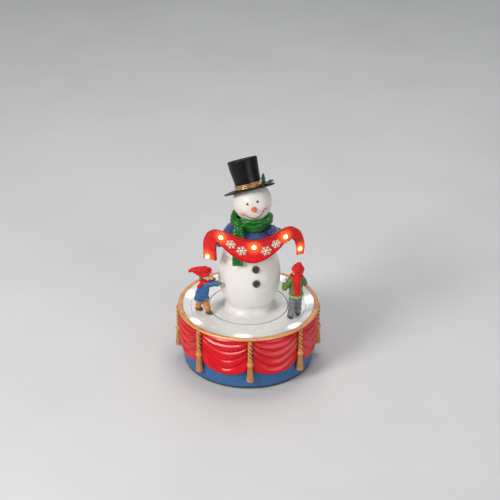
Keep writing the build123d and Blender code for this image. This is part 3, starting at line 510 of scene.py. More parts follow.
def node_solids_centres(node):
    """Centres of a CAD node's separate solids, in millimetres, found by walking its mesh."""
    mesh = frame["nodes"][node].data
    merged = {}
    for vertex in mesh.vertices:
        merged.setdefault(tuple(round(c, 6) for c in vertex.co), []).append(vertex.index)
    parent = list(range(len(mesh.vertices)))

    def root(i):
        while parent[i] != i:
            parent[i] = parent[parent[i]]
            i = parent[i]
        return i

    for group in merged.values():
        for i in group[1:]:
            parent[root(i)] = root(group[0])
    for edge in mesh.edges:
        parent[root(edge.vertices[0])] = root(edge.vertices[1])
    solids = {}
    for vertex in mesh.vertices:
        solids.setdefault(root(vertex.index), []).append(vertex.co)
    centres = []
    for points in solids.values():
        low = Vector(min(p[i] for p in points) for i in range(3))
        high = Vector(max(p[i] for p in points) for i in range(3))
        centres.append((low + high) / 2 / MM)
    return sorted(centres, key=lambda c: (round(c.x, 2), round(c.y, 2)))


RIM_LAMP_TOPS = [(c.x, c.y, node_box("rim_leds")[1].z) for c in node_solids_centres("rim_leds")]
BANNER_LAMPS = node_solids_centres("banner_leds")

# ---------------------------------------------------------------- materials: every slot of the record and some more

# Colour; roughness, patch size, patch variation, grain size, relief, painted shade in hollows, wear of edges; extras
PAINTS = {
    "drum_blue": ((0.030, 0.125, 0.32), 0.42, 14, 0.14, 0.5, 0.10, 0.3, 0.1, dict(gloss=0.3)),
    "curtain_red": ((0.80, 0.001, 0.010), 0.22, 16, 0.12, 0.5, 0.04, 0.5, 0.0, dict(coat=0.12, gloss=0.3)),
    "rim_gold": ((0.84, 0.40, 0.17), 0.33, 7, 0.18, 0.4, 0.08, 0.35, 0.2, dict(metal=0.4, coat=0.2)),
    "rope_gold": ((0.66, 0.30, 0.08), 0.38, 4, 0.22, 0.3, 0.14, 0.9, 0.25, dict(metal=0.2, gloss=0.35)),
    "snow_white": ((0.80, 0.775, 0.73), 0.38, 12, 0.05, 0.7, 0.22, 0.25, 0.1, dict(coat=0.1)),
    # Painted light: cove_white carries emission painted round each rim lamp.
    "cove_white": ((0.80, 0.80, 0.79), 0.18, 10, 0.05, 0.8, 0.10, 0.2, 0.0,
                 dict(coat=0.6, finish=painted_lamp_glow((0.70, 0.86, 1.0), RIM_LAMP_TOPS, 15.0, 2.6))),
    "board_green": ((0.02, 0.15, 0.06), 0.35, 6, 0.2, 0.5, 0.15, 0.3, 0.2, dict(coat=0.3)),
    "black_plastic": ((0.018, 0.018, 0.02), 0.5, 8, 0.2, 0.25, 0.25, 0.3, 0.15, {}),
    "gear_plastic": ((0.74, 0.73, 0.68), 0.4, 8, 0.06, 0.5, 0.08, 0.3, 0.1, {}),
    "rubber_grey": ((0.035, 0.035, 0.035), 0.8, 5, 0.2, 0.3, 0.3, 0.2, 0.1, {}),
    "cell_wrap": ((0.08, 0.10, 0.13), 0.3, 20, 0.1, 2.0, 0.03, 0.2, 0.2, dict(metal=0.4)),
    "jacket_blue": ((0.065, 0.105, 0.27), 0.28, 7, 0.25, 0.5, 0.10, 0.6, 0.1, dict(coat=0.2, gloss=0.4)),
    "cuff_cream": ((0.72, 0.62, 0.48), 0.55, 3, 0.15, 0.4, 0.4, 0.6, 0.2, {}),
    "mitten_brown": ((0.085, 0.035, 0.018), 0.45, 4, 0.25, 0.4, 0.2, 0.5, 0.2, {}),
    "button_brown": ((0.045, 0.022, 0.016), 0.28, 3, 0.25, 0.4, 0.12, 0.5, 0.3, dict(coat=0.3)),
    "scarf_green": ((0.002, 0.17, 0.008), 0.24, 6, 0.25, 0.5, 0.08, 0.75, 0.05, dict(coat=0.25, gloss=0.4)),
    "nose_orange": ((0.76, 0.13, 0.015), 0.35, 2.5, 0.25, 0.3, 0.15, 0.6, 0.15, dict(coat=0.2)),
    "eye_black": ((0.012, 0.012, 0.013), 0.12, 2, 0.2, 0.5, 0.03, 0.2, 0.1, dict(coat=0.5)),
    "hat_black": ((0.004, 0.004, 0.004), 0.36, 9, 0.3, 0.8, 0.08, 0.3, 0.02, dict(gloss=0.24)),
    "band_gold": ((0.80, 0.46, 0.17), 0.3, 4, 0.25, 0.4, 0.12, 0.7, 0.35, dict(metal=0.45)),
    "holly_green": ((0.010, 0.085, 0.03), 0.3, 3, 0.3, 0.4, 0.15, 0.6, 0.2, dict(coat=0.3)),
    "berry_red": ((0.50, 0.01, 0.02), 0.2, 2, 0.2, 0.4, 0.05, 0.4, 0.15, dict(coat=0.5)),
    # Painted light: banner_red carries emission painted on its front round each banner lamp.
    "banner_red": ((0.72, 0.004, 0.008), 0.28, 10, 0.10, 0.5, 0.05, 0.35, 0.0,
                 dict(coat=0.05, gloss=0.3, finish=painted_lamp_glow((1.0, 0.20, 0.02), BANNER_LAMPS, 12.0, 2.4, True))),
    "ornament_cream": ((0.82, 0.74, 0.60), 0.4, 3, 0.1, 0.3, 0.08, 0.4, 0.1, {}),
    "knit_red": ((0.70, 0.004, 0.008), 0.42, 4, 0.2, 0.35, 0.25, 0.6, 0.05, dict(gloss=0.3)),
    "skin_peach": ((0.80, 0.46, 0.31), 0.42, 5, 0.12, 0.5, 0.06, 0.45, 0.1, {}),
    "coat_blue": ((0.030, 0.125, 0.32), 0.45, 5, 0.2, 0.4, 0.2, 0.6, 0.25, dict(gloss=0.35)),
    "coat_green": ((0.10, 0.21, 0.03), 0.48, 4, 0.25, 0.4, 0.25, 0.7, 0.3, {}),
    "hem_green": ((0.36, 0.44, 0.16), 0.5, 3, 0.2, 0.3, 0.3, 0.6, 0.2, {}),
    "mitten_olive": ((0.16, 0.17, 0.025), 0.5, 3, 0.2, 0.4, 0.2, 0.6, 0.2, {}),
    "hair_brown": ((0.24, 0.10, 0.03), 0.5, 2, 0.3, 0.3, 0.4, 0.7, 0.3, {}),
    "trousers_orange": ((0.58, 0.22, 0.04), 0.5, 4, 0.22, 0.4, 0.2, 0.7, 0.25, {}),
    "trousers_grey": ((0.17, 0.185, 0.20), 0.5, 4, 0.25, 0.4, 0.25, 0.6, 0.35, {}),
    "shoe_brown": ((0.075, 0.032, 0.018), 0.35, 3, 0.25, 0.4, 0.12, 0.5, 0.3, dict(coat=0.2)),
    "shoe_black": ((0.025, 0.025, 0.026), 0.35, 3, 0.25, 0.4, 0.12, 0.5, 0.3, dict(coat=0.2)),
    "snowball": ((0.86, 0.86, 0.87), 0.6, 3, 0.04, 0.5, 0.4, 0.3, 0.1, {}),
    "head_white": ((0.80, 0.76, 0.69), 0.4, 8, 0.05, 0.7, 0.2, 0.25, 0.1, dict(finish=blushing)),
    # Painted shadow: platform_white carries a dark ring painted along the gap between the fixed disc and the
    # turntable.
    "platform_white": ((0.80, 0.785, 0.75), 0.24, 12, 0.05, 0.7, 0.10, 0.25, 0.0,
                     dict(coat=0.4, finish=painted_gap_shadow)),
    "smile_red": ((0.20, 0.03, 0.05), 0.4, 2, 0.2, 0.3, 0.1, 0.3, 0.1, {}),
}

materials = {name: paint(name, *numbers, **extras) for name, (*numbers, extras) in PAINTS.items()}
materials["led_white"] = lamp("led_white", (0.55, 0.78, 1.0), (1.0, 1.0, 1.0), 14.0)
materials["led_amber"] = lamp("led_amber", (1.0, 0.42, 0.05), (1.0, 0.86, 0.5), 12.0)
materials["steel"] = metal_finish("steel", (0.55, 0.55, 0.57), 0.35)
materials["nickel"] = metal_finish("nickel", (0.68, 0.66, 0.6), 0.2)

for entry in frame["record"]["subparts"]:
    dressed = frame["nodes"][entry["node"]].data.materials
    dressed.clear()
    on_platform = entry["node"] in ("snow_disc", "turntable")
    dressed.append(materials["platform_white" if on_platform else entry["material_slot"]])

# ---------------------------------------------------------------- drum: curtain and tassels

CUSP_HEIGHT = CURTAIN_LOW + 8.5
FOLD_DEPTH = CURTAIN_THICKNESS + 0.75
FULL_FOLD = 7.5
CREASES = ((1.00, 1.00, 1.00), (0.975, 0.83, 0.96), (0.92, 0.62, 0.88), (0.80, 0.40, 0.75), (0.62, 0.18, 0.55))


def drum_radius(z):
    """Outer radius of the tapered drum wall."""
    share = (z - DRUM_LOW) / (DRUM_TOP - DRUM_LOW)
    return DRUM_FOOT_RADIUS + (DRUM_TOP_RADIUS - DRUM_FOOT_RADIUS) * share


def hem_height(side):
    """Height of a swag's lower edge; side runs from -1 to 1 between tassels."""
    return CURTAIN_LOW + (CUSP_HEIGHT - CURTAIN_LOW) * abs(side) ** 2.6


def crease_height(crease, side):
    """Height of one hanging crease across a swag, as a parabola through its three heights."""
    left, middle, right = crease
    sag = middle + (right - left) / 2 * side + ((left + right) / 2 - middle) * abs(side) ** 1.8
    return CURTAIN_LOW + (DRUM_TOP - CURTAIN_LOW) * sag


def fold_depth(side, z, wobble):
    """How far a swag's cloth stands out at a place, 0 in a crease and 1 on a fold's crown."""
    heights = [crease_height(crease, side) + wobble * sin(3 * side + i) for i, crease in enumerate(CREASES)]
    heights.append(hem_height(side) - 0.8)
    for i, (higher, lower) in enumerate(zip(heights, heights[1:])):
        if z >= lower or i == len(CREASES) - 1:
            share = max(0.0, min(1.0, (higher - z) / max(higher - lower, 0.5)))
            crown = sin(pi * share ** 1.25) ** 0.75 if 0 < share < 1 else 0.0
            return crown * min(1.0, (higher - lower) / FULL_FOLD)
    return 0.0


def build_curtain():
    """Closed red swag curtain with hanging folds between the tassels."""
    across, down = 44, 84
    columns = across * SWAGS
    wobbles = [noise.noise(Vector((swag * 3.1, 0, 0))) for swag in range(SWAGS)]
    outer = []
    for row in range(down + 1):
        for column in range(columns):
            swag, place = divmod(column, across)
            side = 2 * place / across - 1
            turn = SWAG_START + (swag + place / across) * SWAG_ANGLE
            hem = hem_height(side)
            z = CLOTH_TOP - (CLOTH_TOP - hem) * row / down
            depth = fold_depth(side, z, wobbles[swag])
            pinch = 1 - 0.75 * abs(side) ** 10
            edge = min(1.0, (z - hem) / 1.2) ** 0.5 if z > hem else 0.0
            out = (0.35 + FOLD_DEPTH * depth) * pinch * edge + 0.12
            radius = drum_radius(z) + out
            outer.append((radius * cos(turn), radius * sin(turn), z))
    inner = []
    for row in (down, 0):
        for x, y, z in outer[row * columns:(row + 1) * columns]:
            shrink = (drum_radius(z) + 0.03) / hypot(x, y)
            inner.append((x * shrink, y * shrink, z))
    faces = grid_faces(down + 3, columns, closed_rows=True)
    add_piece("swag_curtain_cloth", (outer + inner, faces), "curtain_red", "curtain_red", "swag_curtain")


def rope_warp(strands, pitch, depth, radius):
    """Turned outline made into twisted strands."""

    def warp(r, z, turn):
        if r <= 0:
            return 0.0, z
        lobe = abs(cos(strands / 2 * (turn - FULL_TURN * z / pitch)))
        return r + depth * (lobe - 0.6) * min(1.0, r / radius), z

    return warp


def build_tassels():
    """Twisted ropes with a knob, a collar and a fringed skirt, one at each cusp of the curtain."""
    rope = 2.0
    knob_height = TASSEL_LOW + 20.4
    rope_low = knob_height + 2
    rope_profile = [(0, rope_low), *((rope, rope_low + (CLOTH_TOP - rope_low) * i / 70) for i in range(71)),
                    (0, CLOTH_TOP)]
    knob = [(0, knob_height - 2.8),
            *((3.6 * sin(pi * i / 16), knob_height - 2.8 * cos(pi * i / 16)) for i in range(1, 16)),
            (0, knob_height + 2.8)]
    skirt = [(0, TASSEL_LOW + 0.3), (2.6, TASSEL_LOW + 0.2), (3.7, TASSEL_LOW), (3.85, TASSEL_LOW + 1.2)]
    skirt += [(3.8 - 1.35 * (i / 14) ** 0.9, TASSEL_LOW + 1.2 + (knob_height - 4.4 - TASSEL_LOW) * i / 14)
              for i in range(1, 15)]
    skirt += [(2.75, knob_height - 2.5), (2.3, knob_height - 1.9), (0, knob_height - 1.7)]
    collar = [(r, knob_height + rise) for r, rise in ((0, 2.2), (2.4, 2.2), (2.65, 2.9), (2.4, 3.6), (0, 3.6))]

    def ribbed(r, z, turn):
        return r * (1 + 0.03 * abs(sin(9 * turn))), z

    def strands(r, z, turn):
        ragged = 0.35 * sin(7 * turn + 1) if z < TASSEL_LOW + 0.5 else 0.0
        return r * (0.93 + 0.09 * abs(sin(8 * turn))), z + max(0.0, ragged)

    parts = []
    for index in range(SWAGS):
        turn = SWAG_START + index * SWAG_ANGLE
        place = (Matrix.Translation((TASSEL_CIRCLE * cos(turn), TASSEL_CIRCLE * sin(turn), 0))
                 @ Matrix.Rotation(turn + index, 4, "Z"))
        parts += [lathe(rope_profile, 30, place, rope_warp(2, -10.0, 1.2, rope)), lathe(knob, 30, place, ribbed),
                  lathe(skirt, 64, place, strands), lathe(collar, 24, place)]
    add_piece("rope_tassels", joined(parts), "rope_gold", "rope_gold", "tassels")


build_curtain()
build_tassels()

# ---------------------------------------------------------------- snowman

# (radius, height above the platform) points of the body's three lines
MOUND = ((31.2, 0.06), (30.2, 0.25), (28.8, 0.9), (27.3, 2.1), (26.1, 4.0), (25.4, 6.2), (25.2, 8.5))
BELLY = (25.2, 8.5), (33.3, 39.0), (26.8, 65.0)
CHEST = (26.8, 65.0), (28.0, 79.0), (14.5, 96.5)


def arc_points(start, middle, end, steps):
    """Points of the circular arc through three (radius, height) points."""
    (ax, ay), (bx, by), (cx, cy) = start, middle, end
    d = 2 * (ax * (by - cy) + bx * (cy - ay) + cx * (ay - by))
    ux = ((ax * ax + ay * ay) * (by - cy) + (bx * bx + by * by) * (cy - ay) + (cx * cx + cy * cy) * (ay - by)) / d
    uy = ((ax * ax + ay * ay) * (cx - bx) + (bx * bx + by * by) * (ax - cx) + (cx * cx + cy * cy) * (bx - ax)) / d
    radius = hypot(ax - ux, ay - uy)
    first, last = atan2(ay - uy, ax - ux), atan2(cy - uy, cx - ux)
    turns = [first + (last - first) * i / steps for i in range(steps + 1)]
    return [(ux + radius * cos(t), uy + radius * sin(t)) for t in turns]


BODY_LINE = smooth_path(MOUND, 4)[:-1] + arc_points(*BELLY, 40) + arc_points(*CHEST, 22)[1:]


def body_radius(z):
    """Radius of the snowman's body at a height."""
    rise = z - PLATFORM
    for (r0, z0), (r1, z1) in zip(BODY_LINE, BODY_LINE[1:]):
        if z0 <= rise <= z1:
            return r0 + (r1 - r0) * (rise - z0) / max(z1 - z0, 1e-6)
    return BODY_LINE[-1][0]


def build_body():
    """Body of packed snow: a soft uneven mound at the foot, a round belly and a chest."""
    profile = [(0, PLATFORM + 0.05)] + [(r, PLATFORM + z) for r, z in BODY_LINE]
    profile += [(10.5, NECK_TOP - 5.2), (10.5, NECK_TOP - 0.3), (0, NECK_TOP - 0.3)]

    def uneven(r, z, turn):
        here = Vector((r * cos(turn), r * sin(turn), z))
        broad = noise.noise(here / 17) * 0.35 + noise.noise(here / 5 + Vector((7, 1, 3))) * 0.12
        foot = max(0.0, 1 - (z - PLATFORM) / 8) * noise.noise(here / 9 + Vector((3, 9, 1))) * 1.6
        return max(0.0, r + (broad - 0.25 + min(foot, 0.3)) * min(1.0, r / 10)), z

    body = lathe(profile, 150, Matrix.Translation((BODY_CENTRE_X, 0, 0)), uneven)
    add_piece("body_of_snow", body, "snow_white", "snow_white", "snowman_body")


def on_face(x, z, sink=0.0):
    """Point on the front of the head, seen from the head's own middle."""
    radius = HEAD_SKIN - sink
    return Vector((x, -sqrt(max(radius * radius - x * x - z * z, 0.0)), z))


def tilted(shape):
    """A shape made round the head's middle, put where the head is."""
    verts, faces = shape
    return [HEAD_PLACE @ Vector(v) for v in verts], faces


def build_head():
    """Round head with full cheeks and a dark red smile drawn in a shallow groove."""
    smile = [(-13.6, -10.2), (-12.2, -9.3), (-10.6, -10.6), (-7.5, -13.8), (-2.8, -16.3), (2.1, -16.2),
             (6.8, -13.6), (9.7, -10.0), (10.9, -8.6), (12.6, -9.9)]
    line = [on_face(x, z) for x, z in smooth_path(smile, 6)]

    def carve(point):
        local = HEAD_PLACE.inverted() @ point
        dimple = max(0.0, 1 - min((local - p).length for p in line) / 1.5)
        cheek = sum(max(0.0, 1 - (local - on_face(x, -7.6)).length / 6.5) ** 2 for x in (-12.8, 11.6))
        return -0.55 * dimple ** 1.5 + 0.55 * cheek + noise.noise(point / 9) * 0.25

    piece = link("head_of_snow", tilted(ball((0, 0, 0), HEAD_SKIN, 56)), "head_white")
    displace(piece, carve)
    finish_piece(piece, "snow_white", "snowman_head")
    radii = [0.30 + 0.24 * sin(pi * i / (len(line) - 1)) for i in range(len(line))]
    mouth = [tube([p * 0.985 for p in line], radii, 10)]
    for x, z in ((-11.5, -9.5), (10.8, -9.3)):
        corner = [on_face(x - 1.0, z + 0.1, 0.2), on_face(x, z, 0.2), on_face(x + 0.8, z + 0.7, 0.2)]
        mouth.append(tube(corner, [0.22, 0.3, 0.2], 8))
    add_piece("smile", joined([tilted(part) for part in mouth]), "smile_red", "nose_orange")


def build_nose():
    """Blunt carrot nose with shallow rings, turned up a little."""
    length, root_radius, rings, blunt = 7.6, 3.1, 40, 0.9
    axis = Vector((0.8, -7.6, 2.0)).normalized()
    place = wrist_place(HEAD_CENTRE + Vector((1.5, 2.0 - HEAD_RADIUS, 0.4)), axis)
    profile = [(0, 0)]
    for i in range(rings):
        share = i / (rings - 1)
        radius = root_radius - 1.7 * share ** 1.6 + 0.14 * sin(share * 28) * (1 - share)
        if share >= blunt:
            radius *= sqrt(max(0.05, 1 - ((share - blunt) / 0.1) ** 2))
        profile.append((radius, length * share))
    profile.append((0, length + 0.05))

    def grown(r, z, turn):
        return r * (1 + 0.05 * noise.noise(Vector((cos(turn), sin(turn), z / 2)))), z

    add_piece("ringed_nose", lathe(profile, 36, place, grown), "nose_orange", "nose_orange", "carrot_nose")


def build_hat():
    """Top hat with a thin curled brim, a slightly hollow crown and a folded band with a knot."""
    foot, top, height = 13.3, 15.8, 30.7
    low = HAT_SEAT + 1.6
    profile = [(r, HAT_SEAT + rise) for r, rise in (
        (0, 0.05), (12, 0.05), (20, 0.0), (24.5, 0.15), (26.3, 0.5), (27.0, 1.1), (26.6, 1.75), (25.4, 1.85))]
    profile += [(r, low + rise) for r, rise in (
        (22.5, -0.15), (17.5, -0.15), (15.1, 0.15), (14.4, 0.8), (13.8, 1.4), (foot, 2.1))]
    profile += [(foot + (top - foot) * (i / 20) ** 1.15, low + 1.8 + (height - 2.6) * i / 20) for i in range(1, 21)]
    profile += [(r, low + height - drop) for r, drop in (
        (top - 0.1, 0.4), (top - 0.6, 0.0), (top - 1.3, 0.1), (top - 2.0, 0.7), (8, 0.9), (0, 0.9))]

    def bent(r, z, turn):
        if r < 18:
            dent = noise.noise(Vector((cos(turn) * 1.3, sin(turn) * 1.3, z / 14)))
            return r + dent * 0.45 * min(1.0, r / 8) - 0.1 * min(1.0, r / 8), z
        return r - 0.2, z - 1.0 * cos(2 * turn + 0.3) * ((r - 18) / 9) ** 2

    add_piece("tall_hat", lathe(profile, 110, HEAD_PLACE, bent), "hat_black", "hat_black", "top_hat")

    start, width, segments = low + 0.9, 4.8, 160
    loop = [(foot - 0.6, start), (foot - 0.6, start + width)]
    loop += [(foot + 0.55 + 0.5 * abs(sin(pi * 2.5 * i / 22)) ** 0.7, start + width - width * i / 22)
             for i in range(23)]

    def folded(r, z, turn):
        if r < foot:
            return r, z
        crease = sin(9 * turn + 1.6 * (z - start)) * 0.12 + noise.noise(Vector((turn * 5, z, 0))) * 0.25
        return r + crease, z + 0.45 * sin(2 * turn + 0.8) * 0.5

    band = [(turned(loop, segments, HEAD_PLACE, folded), grid_faces(len(loop), segments, closed_rows=True))]
    for t, lift, size in ((-0.42, 0.2, (1.5, 1.7, 2.3)), (-0.26, 1.5, (1.3, 2.2, 1.4)),
                          (-0.58, -1.0, (1.3, 2.2, 1.3))):
        band.append(tilted(ball((14.0 * cos(t), 14.0 * sin(t), start + 2.4 + lift), size, 14)))
    add_piece("folded_band", joined(band), "band_gold", "band_gold", "hat_band")


def holly_leaf(place, length, width, cup):
    """Spiky leaf lying along X, as a closed thin shell with a raised midrib."""
    along, across = 30, 8
    top, bottom = [], []
    for i in range(along + 1):
        u = i / along
        spike = 0.62 + 0.38 * abs(cos(pi * 3.5 * u)) ** 0.8
        half = width * sin(pi * min(max(u, 0.02), 0.985)) ** 0.7 * spike
        for j in range(across + 1):
            v = 2 * j / across - 1
            lift = cup * v * v * half / width + 0.35 * sin(pi * u) + 0.22 * exp(-(v * 4) ** 2)
            vein = 0.06 * cos(14 * pi * u - 5 * abs(v))
            top.append(place @ Vector((length * u, half * v, lift + vein + 0.55)))
            bottom.append(place @ Vector((length * u, half * v, lift - 0.1)))
    return top + bottom, sheet_faces(along + 1, across + 1)


def build_holly():
    """Four spiky leaves and three berries beside the hat's crown."""
    on_brim = HAT_SEAT + 1.65
    leaves = []
    for x, y, turn, length, width, pitch, roll in (
            (17.2, -3.5, -68, 9.0, 2.5, -4, 0), (17.6, 3.5, 66, 9.0, 2.5, -2, 0),
            (18.2, -0.5, -6, 8.4, 2.4, -14, 30), (15.9, -4.0, -20, 12.0, 2.6, -80, 75)):
        place = HEAD_PLACE @ Matrix.Translation((x, y, on_brim))
        for angle, axis in ((turn, "Z"), (pitch, "Y"), (roll, "X")):
            place = place @ Matrix.Rotation(radians(angle), 4, axis)
        leaves.append(holly_leaf(place, length, width, 0.5))
    add_piece("holly_leaves", joined(leaves), "holly_green", "holly_green", "holly_sprig")
    berries = []
    for y, up in ((-2.8, 0.0), (0.0, 0.9), (2.8, 0.0)):
        spot = HEAD_PLACE @ Vector((17.2, y, on_brim + 1.3 + up))
        berries.append(ball(spot, 1.4, 14))
        berries.append(ball(spot + (HEAD_PLACE.to_3x3() @ Vector((0.2, -0.5, 1.25))), 0.3, 8))
    add_piece("holly_berries", joined(berries), "berry_red", "curtain_red")


# Shoulder, wrist, way the hand points, as in the CAD, and the (x, height) where the hand holds the banner
ARMS = (
    (above((-17, -5, 88.8)), above((-28, -11.5, 81.3)), Vector((-0.62, -0.62, 0.48)).normalized(), (-31.0, 94.5)),
    (above((20, -5, 90.8)), above((37, -12, 86.8)), Vector((0.70, -0.62, 0.35)).normalized(), (42.0, 97.5)),
)
SLEEVE_RADII = (6.7, 6.75, 6.75, 6.7, 6.6, 6.5, 6.4, 6.2, 6.0, 5.8, 5.65, 5.5, 5.4)


def wrist_place(start, toward):
    """Matrix whose Z axis runs from a point along a hand, a nose or a button."""
    return Matrix.Translation(start) @ toward.to_track_quat("Z", "X").to_matrix().to_4x4()


def build_jacket():
    """Blue jacket with a rolled hem, a back seam, creased sleeves, cream cuffs and brown mittens."""
    centre = Vector((BODY_CENTRE_X, 0, 0))
    low, high = PLATFORM + 77.8, NECK_TOP - 3.1
    profile = [(0, low), (body_radius(low) + 1.2, low)]
    heights = [low + 0.6 + (high - low - 0.6) * i / 30 for i in range(31)]
    profile += [(body_radius(z) + 1.75, z) for z in heights] + [(0, high)]
    hem = body_radius(low + 1.2) + 1.3
    parts = [lathe(profile, 96, Matrix.Translation(centre)),
             hoop(Matrix.Translation(centre + UP * (low + 1.3)), hem, hem, 1.25, 72, 12)]
    for shoulder, wrist, _, _ in ARMS:
        middle = (shoulder + wrist) / 2 + UP * 0.8
        parts.append(tube(smooth_path([tuple(shoulder), tuple(middle), tuple(wrist)], 6), SLEEVE_RADII, 28))

    def cloth(point):
        side = point - centre
        turn = atan2(side.y, side.x)
        rise = (point.z - low) / (high - low)
        seam = 0.55 * exp(-((turn - pi / 2) * 22) ** 2) if side.length > 9 else 0.0
        pull = sin(7 * turn + 3.2 * rise + 2 * noise.noise(point / 11)) * 0.42 * (1 - 0.4 * rise)
        sleeve = 0.0
        for shoulder, wrist, _, _ in ARMS:
            axis = wrist - shoulder
            along = (point - shoulder).dot(axis) / axis.length_squared
            away = (point - shoulder - axis * along).length
            if -0.2 < along < 1.2 and away < 9 and abs(point.x - BODY_CENTRE_X) > 20:
                sleeve = 0.5 * sin(11 * along + 2.2 * noise.noise(point / 5))
                pull = 0.0
        return pull + sleeve - seam + noise.noise(point / 3.2) * 0.18

    jacket = moulded("quilted_jacket", parts, "jacket_blue", "root", 0.55, 3, cloth)
    finish_piece(jacket, "jacket_blue", "jacket")

    cuff = [(0, -0.3), *((5.9 * sin(pi * (0.12 + 0.76 * i / 14)) ** 0.4, -0.3 + 3.8 * i / 14) for i in range(15)),
            (0, 3.5)]
    cuffs, hands = [], []
    for _, wrist, toward, grip in ARMS:
        place = wrist_place(wrist, toward)
        cuffs.append(lathe(cuff, 40, place))
        start = place @ Vector((0, 0, 3.2))
        back = on_banner(*grip, -2.4)
        palm = back + (start - back).normalized() * 4.5
        outward = Vector((copysign(1.0, wrist.x), 0, 0))
        hand = [start, start.lerp(palm, 0.35), start.lerp(palm, 0.7), palm]
        thumb = [hand[1] - outward * 2.2, palm - outward * 3.6 - UP * 3.2,
                 palm - outward * 3.4 + Vector((0, -1.4, -5.0))]
        hands += [tube(hand, [3.7, 4.7, 5.2, 4.5], 26), tube(thumb, [2.2, 2.1, 1.8], 18)]
    fluff = moulded("fluffy_cuffs", cuffs, "cuff_cream", "root", 0.3, 2,
                    lambda p: abs(noise.noise(p / 1.3)) * 1.1 - 0.25)
    finish_piece(fluff, "cuff_cream", "sleeve_cuffs")
    mitts = moulded("mittens_with_thumbs", hands, "mitten_brown", "root", 0.35, 5, lumps(2.5, 0.25, 4))
    finish_piece(mitts, "mitten_brown", "mittens")


def build_buttons():
    """Two dark coat buttons with a rim and four holes."""
    profile = [(0, -2.0), (3.9, -2.0), (4.05, 0.9), (4.0, 1.4), (3.65, 1.75), (3.1, 1.7), (2.8, 1.2), (2.6, 1.0)]
    profile += [(2.6 - 2.4 * i / 12, 1.0 + 0.08 * i / 12) for i in range(1, 13)] + [(0, 1.1)]

    def holes(r, height, turn):
        spot = Vector((r * cos(turn), r * sin(turn)))
        for hole in ((-0.85, -0.85), (-0.85, 0.85), (0.85, -0.85), (0.85, 0.85)):
            if height > 0.95 and r < 2.61:
                height -= 0.9 * max(0.0, 1 - (spot - Vector(hole)).length / 0.55) ** 0.5
        return r, height

    buttons = []
    for x, y, rise, lean in ((7.8, -29.0, 58.2, 12.0), (8.4, -32.4, 43.4, 0.0)):
        facing = Vector((x - BODY_CENTRE_X, y, -y * tan(radians(lean)))).normalized()
        buttons.append(lathe(profile, 48, wrist_place(above((x, y, rise)), facing), holes))
    add_piece("four_hole_buttons", joined(buttons), "button_brown", "button_brown", "coat_buttons")


SCARF_CENTRE = Vector((3.3, 0, 0))


def build_scarf_rolls():
    """Folded rolls of green scarf round the neck."""
    rolls = []
    for reach, height, thick, flat, sway, phase in (
            (17.9, NECK_TOP - 2.0, 3.7, 0.9, 0.5, 0.3), (18.2, NECK_TOP + 1.6, 3.7, 0.85, 0.9, 2.0),
            (17.4, NECK_TOP + 3.6, 2.9, 0.8, 0.7, 3.9), (16.7, NECK_TOP - 2.8, 2.9, 0.8, 0.4, 5.2)):
        path, radii = [], []
        for i in range(97):
            t = FULL_TURN * i / 96
            out = reach + 0.5 * sin(3 * t + phase)
            rise = height + sway * sin(2 * t + phase)
            path.append(SCARF_CENTRE + Vector((out * cos(t), out * sin(t), rise)))
            radii.append(thick * (1 + 0.09 * sin(4 * t + 2 * phase)))
        rolls.append(tube(path, radii, 18, flat, round_ends=False))

    def gathered(point):
        side = point - SCARF_CENTRE
        turn = atan2(side.y, side.x)
        fold = sin(1.25 * point.z + 2.5 * turn + 2.2 * noise.noise(point / 8)) * 0.5
        return fold + noise.noise(point / 2.6) * 0.15

    wrap = moulded("folded_scarf", rolls, "scarf_green", "root", 0.5, 2, gathered)
    finish_piece(wrap, "scarf_green", "scarf_wrap")


def build_scarf_tail():
    """The scarf's knot and its fringed tail down the front."""
    fall = smooth_path([(y, PLATFORM + rise) for y, rise in (
        (-22.6, 105.4), (-24.6, 102.8), (-26.6, 99.4), (-29.4, 90.8), (-30.7, 77.8), (-31.4, 65.4))], 9)
    fringe = PLATFORM + 66.0
    half, thick, around = 5.5, 1.0, 40
    rows = []
    for i, (y, z) in enumerate(fall):
        share = i / (len(fall) - 1)
        width = half * (0.72 + 0.28 * min(1.0, share * 2.2)) + 0.15 * sin(9 * share)
        sway = -10.5 + 0.5 * sin(4 * share)
        for k in range(around):
            t = FULL_TURN * k / around
            across = copysign(abs(cos(t)) ** 0.55, cos(t))
            rib = 0.28 * cos(3.5 * pi * across) * (1 if sin(t) < 0 else 0)
            out = (thick + 0.1) * sin(t) * (1 - 0.25 * across ** 6)
            rows.append((sway + width * across, y + out - rib, z))
    faces = grid_faces(len(fall), around)
    faces += [tuple(reversed(range(around))), tuple(range((len(fall) - 1) * around, len(fall) * around))]
    knot = SCARF_CENTRE + Vector((-13.2, -18.6, NECK_TOP + 0.2))
    parts = [(rows, faces), ball(knot, (4.6, 3.4, 5.0), 20),
             ball(knot + Vector((-2.2, 0.8, 3.4)), (3.0, 2.6, 2.6), 16),
             ball(knot + Vector((2.6, 0.4, -3.4)), (2.6, 2.4, 2.6), 16)]
    for strand in range(9):
        x = -15.4 + strand * 1.22
        parts.append(tube([(x, -31.4, fringe), (x + 0.1, -31.5, fringe - 1.3),
                           (x + 0.25 * sin(strand * 2), -31.6, fringe - 1.9)], [0.62, 0.58, 0.4], 10))
    tail = moulded("scarf_tail_with_fringe", parts, "scarf_green", "root", 0.3, 2,
                   lambda p: 0.14 * sin(p.z * 2.4) + noise.noise(p / 2.4) * 0.2)
    finish_piece(tail, "scarf_green", "scarf_tail")


# ---------------------------------------------------------------- banner

BANNER_AXIS = Vector((6.0, 37.0, 0.0))
BANNER_BEND = 75.0
CREASE_PLACES = (0.17, 0.235, 0.74, 0.80)
